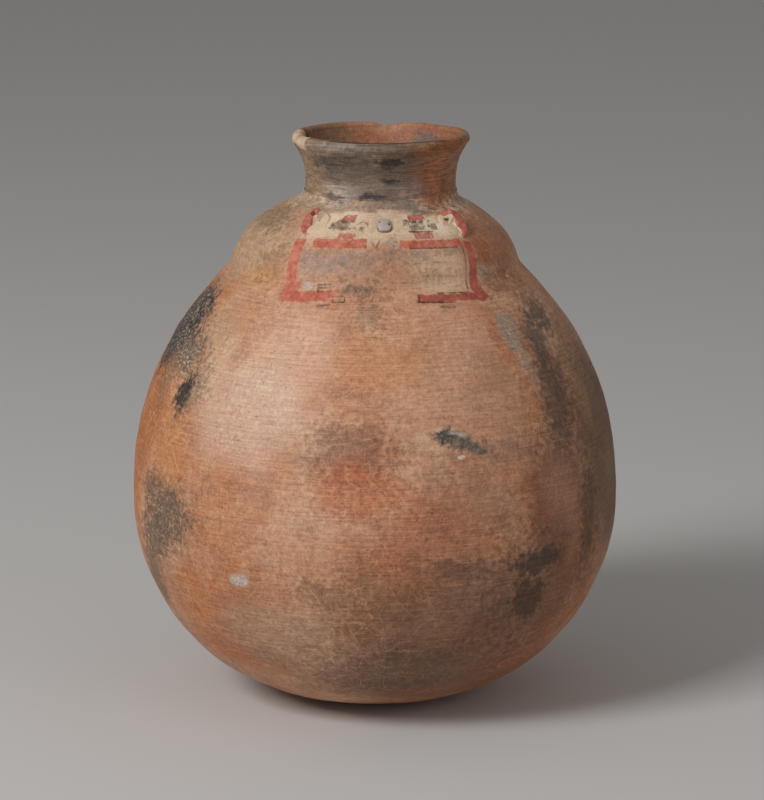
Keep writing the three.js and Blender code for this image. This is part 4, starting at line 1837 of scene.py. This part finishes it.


# Fire clouds, stains and worn patches of the body and dome. The dark brown rows low on the front and on the
# right flank, at azimuths 14 to 75, are partly fire clouds and partly painted shade that darkens the jar
# towards the bottom and the right.
FIRE_CLOUDS_AND_SHADE = tuple(Tint(*row) for row in (
    (-80, 250, 42, 80, "b26a38", 0.7), (-58, 240, 22, 40, "c68a58", 0.5),
    (-33, 280, 50, 46, "dcbba6", 0.62), (-21, 335, 34, 30, "dfb092", 0.5),
    (-49, 318, 17, 34, "d2b698", 0.55, 0, 1.2), (-58, 345, 20, 26, "c4a484", 0.6, 0, 1.1),
    (-79, 336, 39, 40, "332e2a", 0.97, 0, 0.6, "bdb5a9"),
    (-80, 312, 22, 24, "3c3630", 0.9, 0, 1, "a89e91"),
    (-65, 316, 26, 22, "5c5248", 0.85, 0, 1, "d3c4af"),
    (-54, 290, 17, 20, "7b6a59", 0.65, 0, 1.1, "c8b49b"), (-70, 288, 16, 26, "866a50", 0.6, 0, 1.1),
    (-57.5, 285, 10, 20, "363330", 0.95, -14, 0.9),
    (-57, 184, 32, 25, "5d5347", 0.85, 0, 1.1, "96816b"),
    (-64, 158, 28, 22, "66574a", 0.8, 0, 1, "96816b"), (-66, 198, 14, 14, "6a5a4b", 0.6, 0, 1.1),
    (-70, 120, 20, 32, "705d4d", 0.7, 0, 1), (-50, 115, 20, 30, "c27845", 0.45),
    (0, 326, 34, 26, "d0895c", 0.4), (-2, 358, 13, 17, "93705d", 0.5), (16, 330, 26, 40, "cf9870", 0.4),
    (-5, 254, 36, 26, "845544", 0.65, 0, 1), (-4, 226, 40, 22, "bd663c", 0.6),
    (22, 214, 36, 28, "a26e56", 0.5), (12, 180, 60, 26, "a8654a", 0.45),
    (21, 155, 28, 10, "644838", 0.5, -10), (-12, 138, 26, 14, "855d47", 0.45),
    (-28, 92, 50, 30, "b5937c", 0.6), (14, 112, 84, 50, "75523e", 0.68, 0, 1),
    (14, 58, 84, 32, "624a3c", 0.7, 0, 1), (31, 255, 40, 10, "785d50", 0.45, -4),
    (-32.5, 141, 9.5, 6.2, "c0b3a9", 0.85, 8, 1.1, "f6f3f0"), (30, 300, 46, 60, "c69478", 0.5),
    (31, 350, 24, 22, "d6a386", 0.5, 0, 1), (75, 230, 70, 105, "57402f", 0.75, 0, 1),
    (48, 205, 36, 60, "825743", 0.65), (45, 120, 60, 60, "5c412f", 0.65, 0, 1),
    (63, 347, 13, 18, "57504a", 0.75, 0, 1.2), (54.5, 325, 10, 28, "544f48", 0.75, -20, 1.2),
    (52, 284, 22, 40, "5c4a3d", 0.75, 0, 1), (46.6, 344, 12, 17, "9d9182", 0.7, -4, 1, "b8ac9c"),
    (45, 326, 6, 18, "a59786", 0.65, 6, 1, "b8ac9c"), (50, 326, 3, 18, "a96f4c", 0.45, 4, 1.1),
    (41.4, 330, 6, 30, "b6704a", 0.5, 10, 1.2), (43, 284, 8, 22, "b87748", 0.5, 6, 1.2),
    (65, 290, 9, 34, "a9825c", 0.6, 8, 1.1), (40.7, 153, 26, 10, "463a33", 0.75, 12),
    (39.6, 121, 16, 18, "432e24", 0.7), (60, 176, 12, 44, "4a3426", 0.55, 0, 1.1),
    (52, 200, 9, 24, "b08061", 0.65, 4, 1.2), (53, 158, 8, 22, "a8744f", 0.6, -4, 1.2),
    (47.5, 212, 14, 20, "b38569", 0.6, 0, 1.1), (62, 88, 30, 14, "a36a42", 0.6, 20),
    (20, 34, 110, 24, "6b5040", 0.6, 0, 1), (-46, 62, 34, 10, "c2764a", 0.5),
    (21, 264, 25, 5.4, "565650", 0.85, -22, 1, "94918a"), (16.8, 271, 8, 5.4, "3f4240", 0.9, -10, 0.7),
    (19.8, 270.4, 7.5, 1.5, "cfc7bc", 0.7, -16, 1.3), (20.8, 251.8, 3.2, 1.7, "e2cdb8", 0.95, 0, 0.5),
    (150, 260, 70, 50, "5a4a3f", 0.55), (-140, 170, 80, 60, "b87c55", 0.5),
    (185, 130, 60, 40, "6a5848", 0.5),
))

DOME_TINTS = tuple(Tint(*row) for row in (
    (-68, 410, 62, 42, "bb9b7d", 0.8), (-44, 392, 15, 18, "a67b59", 0.6),
    (-72, 424, 34, 17, "77664f", 0.65, 0, 1, "b39b7e"), (-50, 378, 26, 9, "c9955f", 0.45),
    (60, 408, 44, 34, "ab7252", 0.85), (52, 402, 10, 15, "a9633e", 0.6),
    (47.5, 384, 18, 6, "b59c85", 0.65, 14), (56, 374, 24, 12, "94654a", 0.5),
    (4, 427, 66, 17, "ddc1a3", 0.92, 0, 0.5), (-30, 424, 15, 18, "e6cdb0", 0.7),
    (8, 418, 30, 9, "e2c7a9", 0.6), (27, 429, 22, 11, "efd5ba", 0.9), (35, 423.5, 10, 7, "fae1ca", 0.8),
    (-21, 432, 20, 9, "efd6ba", 0.9), (-4, 390, 46, 14, "bd9174", 0.5),
    (27, 391, 28, 22, "dab597", 0.85), (-6, 376, 18, 7, "7f6656", 0.5, 0, 1.1),
))

NECK_TINTS = tuple(Tint(*row) for row in (
    (-50, 440, 28, 4.5, "ead5bc", 0.95), (50, 439, 24, 4.5, "dcc6ad", 0.6),
    (-54, 460, 34, 28, "967d62", 0.85), (0, 466, 56, 22, "6b5f55", 0.85, 0, 0.7),
    (46, 458, 24, 26, "a86a46", 0.9, 0, 0.9), (76, 462, 26, 30, "9a6b48", 0.8),
    (-36, 474, 24, 7, "4a443e", 0.6, 0, 1.1), (8, 476, 12, 4, "2e2824", 0.8, 0, 1.1),
    (8.5, 459, 9, 3, "332c27", 0.85, 0, 0.9), (-31, 450, 18, 7, "b3a293", 0.8, 0, 1),
    (-34, 446, 9, 2.4, "57534f", 0.7), (-5, 453, 15, 6, "8f7e71", 0.6, 0, 1.1),
    (-5, 444, 8, 4, "393b3d", 0.85, 0, 0.9), (12, 438, 32, 5, "6c6661", 0.7),
    (-10, 437, 30, 4, "a58a72", 0.5), (22, 450, 16, 9, "8a7870", 0.6),
    (-30, 487, 34, 7, "8d8176", 0.75), (8, 487, 30, 6, "6c5f55", 0.7), (52, 487, 34, 8, "93572f", 0.85),
    (88, 488, 16, 4, "c9a27c", 0.6), (-98, 486, 12, 12, "4a3c30", 0.7),
))

INNER_TINTS = tuple(Tint(*row) for row in (
    (178, 470, 90, 34, "a86f50", 0.9), (-128, 470, 34, 34, "8d6d50", 0.85),
    (-96, 482, 16, 12, "4c3b2e", 0.85), (132, 472, 22, 9, "73685f", 0.8),
    (184, 484, 40, 9, "bf8a6a", 0.6), (2, 490, 66, 13, "2a221d", 0.95, 0, 0.4),
))

RED_FRAME = Paint("paint_red_frame", "bd604a", "d08068", (
    (-16.2, 413, 23.4, 3.4, 2.1), (26.5, 411.6, 29, 2.9, -2.4), (-34.3, 394, 20.5, 4.7, -86),
    (-32.8, 375, 7, 6.6), (-24.5, 371.6, 19, 3.9, 6),
), wear=0.27, shake=0.7)

DARK_RED_FRAME = Paint("paint_dark_red_frame", "a54e42", "b96654", (
    (42.6, 392, 19.5, 3.6, -103), (41.4, 371.6, 6.2, 4.4, -70), (28, 370, 23.5, 2.7, -3),
), wear=0.22, shake=0.6)

RED_FACE = Paint("paint_red_face", "b3604f", "c98674", (
    (-16.5, 430.5, 7.2, 2.6, 3), (22.4, 430, 8.8, 2.4, -3), (-13.5, 418.2, 8.2, 2, 2),
    (24, 417.9, 9, 2.2, -2),
), wear=0.34, shake=0.8)

PANEL_FIELD = Paint("paint_grey_field", "937c6e", "a18c80", (
    (-16, 399.5, 30, 8.5, 2), (12, 404, 22, 4, -1), (33, 406, 11, 2, -4),
), edge=4.5, wear=0.4, strength=0.8)

BROWN_FIELD = Paint("paint_brown_field", "9c7255", "b1886a", (
    (3, 397, 24, 8.5, 0), (-4, 388, 30, 3, 2), (20, 389, 14, 7, -5),
), edge=5, wear=0.52, strength=0.62)

SMUDGES = Paint("paint_smudges", "5f5249", "74665c", (
    (-6.7, 378.6, 9, 2.4, -3),
), edge=2.2, wear=0.4, strength=0.8)

PALE_DIAMOND = Paint("paint_pale_diamond", "9c8c7c", "b3a291", (
    (7, 413.4, 4.4, 3.2, 15),
), edge=1.2, wear=0.3, strength=0.8)

PALE_SPOTS = Paint("paint_pale_spots", "b3a99c", "cdc4b6", (
    (-25.8, 379.2, 2.2, 2.3, 80), (28.6, 426.4, 1.6, 1.2), (-15.4, 427.3, 1.2, 1),
    (9.7, 410.8, 0.9, 0.8),
), edge=1.4, wear=0.12, shake=0.6)

EYE_CELLS = Paint("paint_eye_cells", "8c8171", "7b6a55", (
    (22.3, 426.2, 7, 1.1, -2), (21.8, 423.2, 7, 1.2, -2), (31, 423.8, 3.3, 2.2, -4),
    (16, 427.2, 1.7, 1.6, -10), (-19.7, 425.6, 9.5, 2.6, 2),
), edge=0.7, wear=0.3, strength=0.8, shake=0.6)

BROWN_LINES = Paint("paint_brown_lines", "5b3e2c", "6f4c35", (
    (-22.7, 426.4, 5, 0.8, 40), (-17, 428, 5, 0.7, -4), (-16, 423.6, 6, 0.8, 3),
    (-10.6, 424, 2.6, 0.8, -16), (-7.2, 423.6, 2.4, 1.6), (-8.7, 428.2, 2.2, 0.6, 14),
    (-6.1, 428.2, 2.6, 0.6, -14), (-4.6, 425.9, 2.4, 0.6, -60), (-1, 413, 3.2, 0.6, -56),
    (1.3, 413, 3.2, 0.6, -124), (9.9, 413.5, 2, 0.6, 90), (4, 435.4, 5, 0.6), (-19.4, 381.2, 5, 0.5, 4),
    (-19.3, 378.5, 4.9, 0.45, 4), (-19, 375.9, 4.8, 0.5, 4), (-21.8, 378.4, 3, 0.5, -80),
    (-16.8, 378.8, 3, 0.5, -80), (-17.9, 366.1, 4.7, 0.8, 9), (26, 363.6, 6.5, 0.8, -6),
), edge=0.7, wear=0.42, strength=0.8, shake=0.45)

SCRATCHES = Paint("paint_scratches", "8b6a52", "9a7a62", (
    (-14, 384.3, 30, 0.5, 3), (12, 383.2, 22, 0.5, -1), (22, 398, 16, 0.4, -1), (30, 403, 12, 0.35, -3),
    (26, 387, 16, 0.4, -5), (24, 393, 14, 0.3, -2),
), edge=0.5, wear=0.45, strength=0.6, shake=0.4)

BLACK_LINES = Paint("paint_black_lines", "2a211d", "4a372b", (
    (22, 427.6, 8.9, 0.45, -2), (22.4, 424.7, 7.4, 0.45, -2), (23, 421, 12.5, 0.5, -3),
    (17.5, 426.6, 2.8, 0.5, -63), (32.6, 423.9, 2, 0.5, -108), (14.6, 427.5, 2, 0.5, -85),
    (16.1, 429.1, 1.9, 0.4, -3), (29.7, 427.9, 0.9, 0.7), (28.4, 424.4, 0.9, 0.7),
    (27.6, 430, 2.2, 0.45, -70), (27, 408.6, 22, 0.35, -2.4), (-3.8, 413.2, 3.2, 0.45, 90),
    (38.9, 391.5, 17, 0.4, -102), (30.3, 373.2, 12.3, 0.45, -4), (22.4, 367.4, 14, 0.45, -4),
    (16.2, 370.6, 2.6, 0.45, 85), (-13, 372.8, 4.2, 0.45, 5), (-12.8, 368.8, 4.1, 0.45, 5),
    (-10.7, 370.8, 2.1, 0.4, 90), (-15, 370.8, 2.1, 0.4, 90),
), edge=0.55, wear=0.3, strength=0.85, shake=0.35)

CRACKS = Paint("paint_crack_lines", "dfbf9f", "e6c9ab", (
    (-33.6, 335, 9, 0.35, 62), (-31, 319.6, 22, 0.4, 2),
), edge=0.6, wear=0.3, strength=0.7, shake=0.8)

PANEL_PAINTS = (
    PANEL_FIELD, BROWN_FIELD, SMUDGES, PALE_DIAMOND, RED_FRAME, DARK_RED_FRAME, RED_FACE, EYE_CELLS,
    PALE_SPOTS, SCRATCHES, BROWN_LINES, BLACK_LINES,
)


@dataclass(frozen=True)
class SoftLight:
    """Square area light: its place and side in metres, and its power in watts."""

    name: str
    place: Triple
    size: float
    watts: float


@dataclass(frozen=True)
class Stage:
    """Plain pale studio floor, soft lights and the camera.

    The floor's size and the far clip are in metres, and the camera's place and the lights' aim are in
    millimetres. The camera looks level sideways and down by camera_down degrees.
    """

    floor_size: float = 40.0
    floor_grey: str = "d4d2d0"
    surround_grey: str = "d8d6d4"
    surround_strength: float = 0.34
    camera_place: Triple = (6.1, -3100.0, 928.2)
    camera_down: float = 12.21
    lens: float = 164.0
    sensor: float = 36.0
    far_clip: float = 100.0
    aim: Triple = (0.0, 0.0, 250.0)
    lights: tuple[SoftLight, ...] = (
        SoftLight("key_light", (-2.5, -2.4, 2.8), 1.5, 108.0),
        SoftLight("fill_light", (2.8, -2.2, 1.4), 2.2, 12.0),
    )

    def floor(self) -> None:
        """Pale floor that fills the picture."""
        half = self.floor_size / 2.0
        mesh = bpy.data.meshes.new("studio_floor_sheet")
        corners = ((-half, -half, 0.0), (half, -half, 0.0), (half, half, 0.0), (-half, half, 0.0))
        mesh.from_pydata(corners, [], [(0, 1, 2, 3)])
        # Matt paper gives the eye a plain ground with soft shadows and no reflection.
        sheet = NodeSheet("Matt studio paper, pale grey")
        shader = sheet.add("BsdfPrincipled", {
            "Base Color": linear(self.floor_grey), "Roughness": 0.9, "Specular IOR Level": 0.1,
        })
        sheet.add("OutputMaterial", {0: shader})
        mesh.materials.append(sheet.material)
        floor = bpy.data.objects.new("studio_floor", mesh)
        link(floor)

    def shine(self, light: SoftLight) -> None:
        """Hangs a light that looks at the jar.

        Args:
            light: Which light.
        """
        lamp = bpy.data.lights.new(light.name, "AREA")
        lamp.size = light.size
        lamp.energy = light.watts
        lit = bpy.data.objects.new(light.name, lamp)
        link(lit)
        way = Vector(light.place) - Vector(self.aim) * MILLIMETRE
        turned = way.to_track_quat("Z", "Y").to_matrix().to_4x4()
        lit.matrix_world = Matrix.Translation(light.place) @ turned

    def surround(self) -> None:
        """Pale grey all round, which also fills the shadows a little."""
        world = bpy.data.worlds.new("studio_surround")
        world.use_nodes = True
        light = world.node_tree.nodes["Background"]
        light.inputs["Color"].default_value = linear(self.surround_grey)
        light.inputs["Strength"].default_value = self.surround_strength
        bpy.context.scene.world = world

    def camera(self) -> None:
        """Camera of the reference view, level sideways and looking a little down."""
        lens = bpy.data.cameras.new("reference_lens")
        lens.lens = self.lens
        lens.sensor_width = self.sensor
        lens.clip_end = self.far_clip
        view = bpy.data.objects.new("reference_camera", lens)
        view.location = Vector(self.camera_place) * MILLIMETRE
        view.rotation_euler = (math.radians(90.0 - self.camera_down), 0.0, 0.0)
        link(view)
        bpy.context.scene.camera = view

    def build(self) -> None:
        """Sets up the whole stage."""
        self.floor()
        for light in self.lights:
            self.shine(light)
        self.surround()
        self.camera()
        bpy.context.scene.view_settings.view_transform = "Standard"


@dataclass
class StorageJar:
    """The whole jar: body, dome, luting coil, collar, rim with its fill, ears and nose."""

    walls: TurnedWalls = field(default_factory=TurnedWalls)

    def clay(self, name: str, **changes: Any) -> FiredClay:
        """Finish of a piece of the body, named for the piece."""
        tints = FIRE_CLOUDS_AND_SHADE + DOME_TINTS
        return FiredClay(name=f"Open-fired earthenware, wiped, {name}", tints=tints, **changes)

    def body(self) -> None:
        """Base bowl and the three building stages over it."""
        jar = self.walls.outline
        joints = (jar.base_bowl_height, jar.belly_height, jar.shoulder_joint, jar.crease_height)
        base = self.clay("base bowl")
        self.walls.base_bowl().build(base.material(self.walls, 0.0, joints[0]), Slot.ORANGE_CLAY)
        rings = (
            ("lower_belly_wall", joints[0], joints[1], ()),
            ("upper_belly_wall", joints[1], joints[2], ()),
            ("shoulder_wall", joints[2], joints[3], PANEL_PAINTS + (CRACKS,)),
        )
        for name, low, high, paints in rings:
            finish = self.clay(name.replace("_", " "), paints=paints, streak=0.26)
            ring = self.walls.wall_ring(name, low, high)
            for paint in paints:
                paint.mark(ring, jar)
            ring.build(finish.material(self.walls, low, high), Slot.ORANGE_CLAY)

    def shoulder(self) -> None:
        """Dome that carries the face, and the luting coil that joins the neck to it."""
        jar = self.walls.outline
        finish = self.clay("shoulder dome, slip-painted", roots=0.26, paints=PANEL_PAINTS)
        dome = self.walls.wall_ring("shoulder_dome", jar.crease_height, jar.neck_foot)
        for paint in PANEL_PAINTS:
            paint.mark(dome, jar)
        dome.build(finish.material(self.walls, jar.crease_height, jar.neck_foot), Slot.BUFF_CLAY)
        # Luting clay was smeared on wet and fired paler: a buff ridge with level finger marks.
        finish = FiredClay(
            name="Luting clay, finger-smeared and fired buff", pale="d8bca2", warm="b8947a", dull="94796a",
            roots=0.1, tints=DOME_TINTS + NECK_TINTS, streak=0.3, streak_size=14.0,
        )
        coil = LutingCoil(self.walls).mesh()
        coil.build(finish.material(self.walls, jar.neck_foot, jar.luting_top), Slot.BUFF_CLAY)

    def neck(self) -> None:
        """Collar, rolled rim and the plaster in its gap."""
        jar = self.walls.outline
        # Smoke has dulled the neck to grey-brown, and wiping it round has left level streaks.
        collar = FiredClay(
            name="Smoked earthenware, wiped round, neck collar", pale="a58f78", warm="936b4c",
            dull="5c4c40", streak=0.5, streak_size=24.0, roots=0.12, tints=NECK_TINTS,
            inner_tints=INNER_TINTS, inside="b87a58", turned_in=(0.22, 0.45),
        )
        rim = replace(collar, name="Smoked earthenware, wiped round, rim coil")
        dressed = collar.material(self.walls, jar.neck_foot, jar.rim_joint)
        self.walls.collar().build(dressed, Slot.SMOKED_CLAY)
        dressed = rim.material(self.walls, jar.rim_joint, jar.height)
        self.walls.rim_coil().build(dressed, Slot.SMOKED_CLAY)
        PlasterFill(self.walls).mesh().build(SandedPlaster().material(), Slot.FILL_PLASTER)

    def face(self) -> None:
        """Ears and nose that were pressed on the dome."""
        # Iron slip fires to a matt red, patchy where the brush laid it thinly on the buff clay.
        red = PressedSlip("Red iron slip, brushed and worn", "ae5548", "c87e69", "dcc2a4").material()
        foot = self.walls.outline.neck_foot
        left = Ear(
            self.walls, "ear_left", Flank.LEFT, azimuth=-32.75, height=foot - 8.5, hole_away=4.0,
            hole_up=10.0, slip_end=(84.0, 104.0), hole_ring=0.0,
        )
        right = Ear(
            self.walls, "ear_right", Flank.RIGHT, azimuth=42.75, height=foot - 10.5, hole_away=-2.5,
            hole_up=8.0, slip_end=(102.0, 124.0), hole_ring=1.0, countersink=0.9,
        )
        left.mesh().build(red, Slot.RED_SLIP)
        right.mesh().build(red, Slot.RED_SLIP)
        # Thin slip fires to a pale grey that lets the brown clay through.
        grey = PressedSlip("Grey slip, thin and worn", "b3a8a1", "c9bcae", "8f7461").material()
        Nose(self.walls).mesh().build(grey, Slot.GREY_SLIP)

    def build(self) -> None:
        """Builds and dresses every piece."""
        self.body()
        self.shoulder()
        self.neck()
        self.face()


def main() -> None:
    """Dresses the jar and sets up the stage, logging each piece's points and faces."""
    logging.basicConfig(level=logging.INFO, format="%(name)s: %(message)s")
    StorageJar().build()
    Stage().build()


if __name__ == "__main__":
    main()
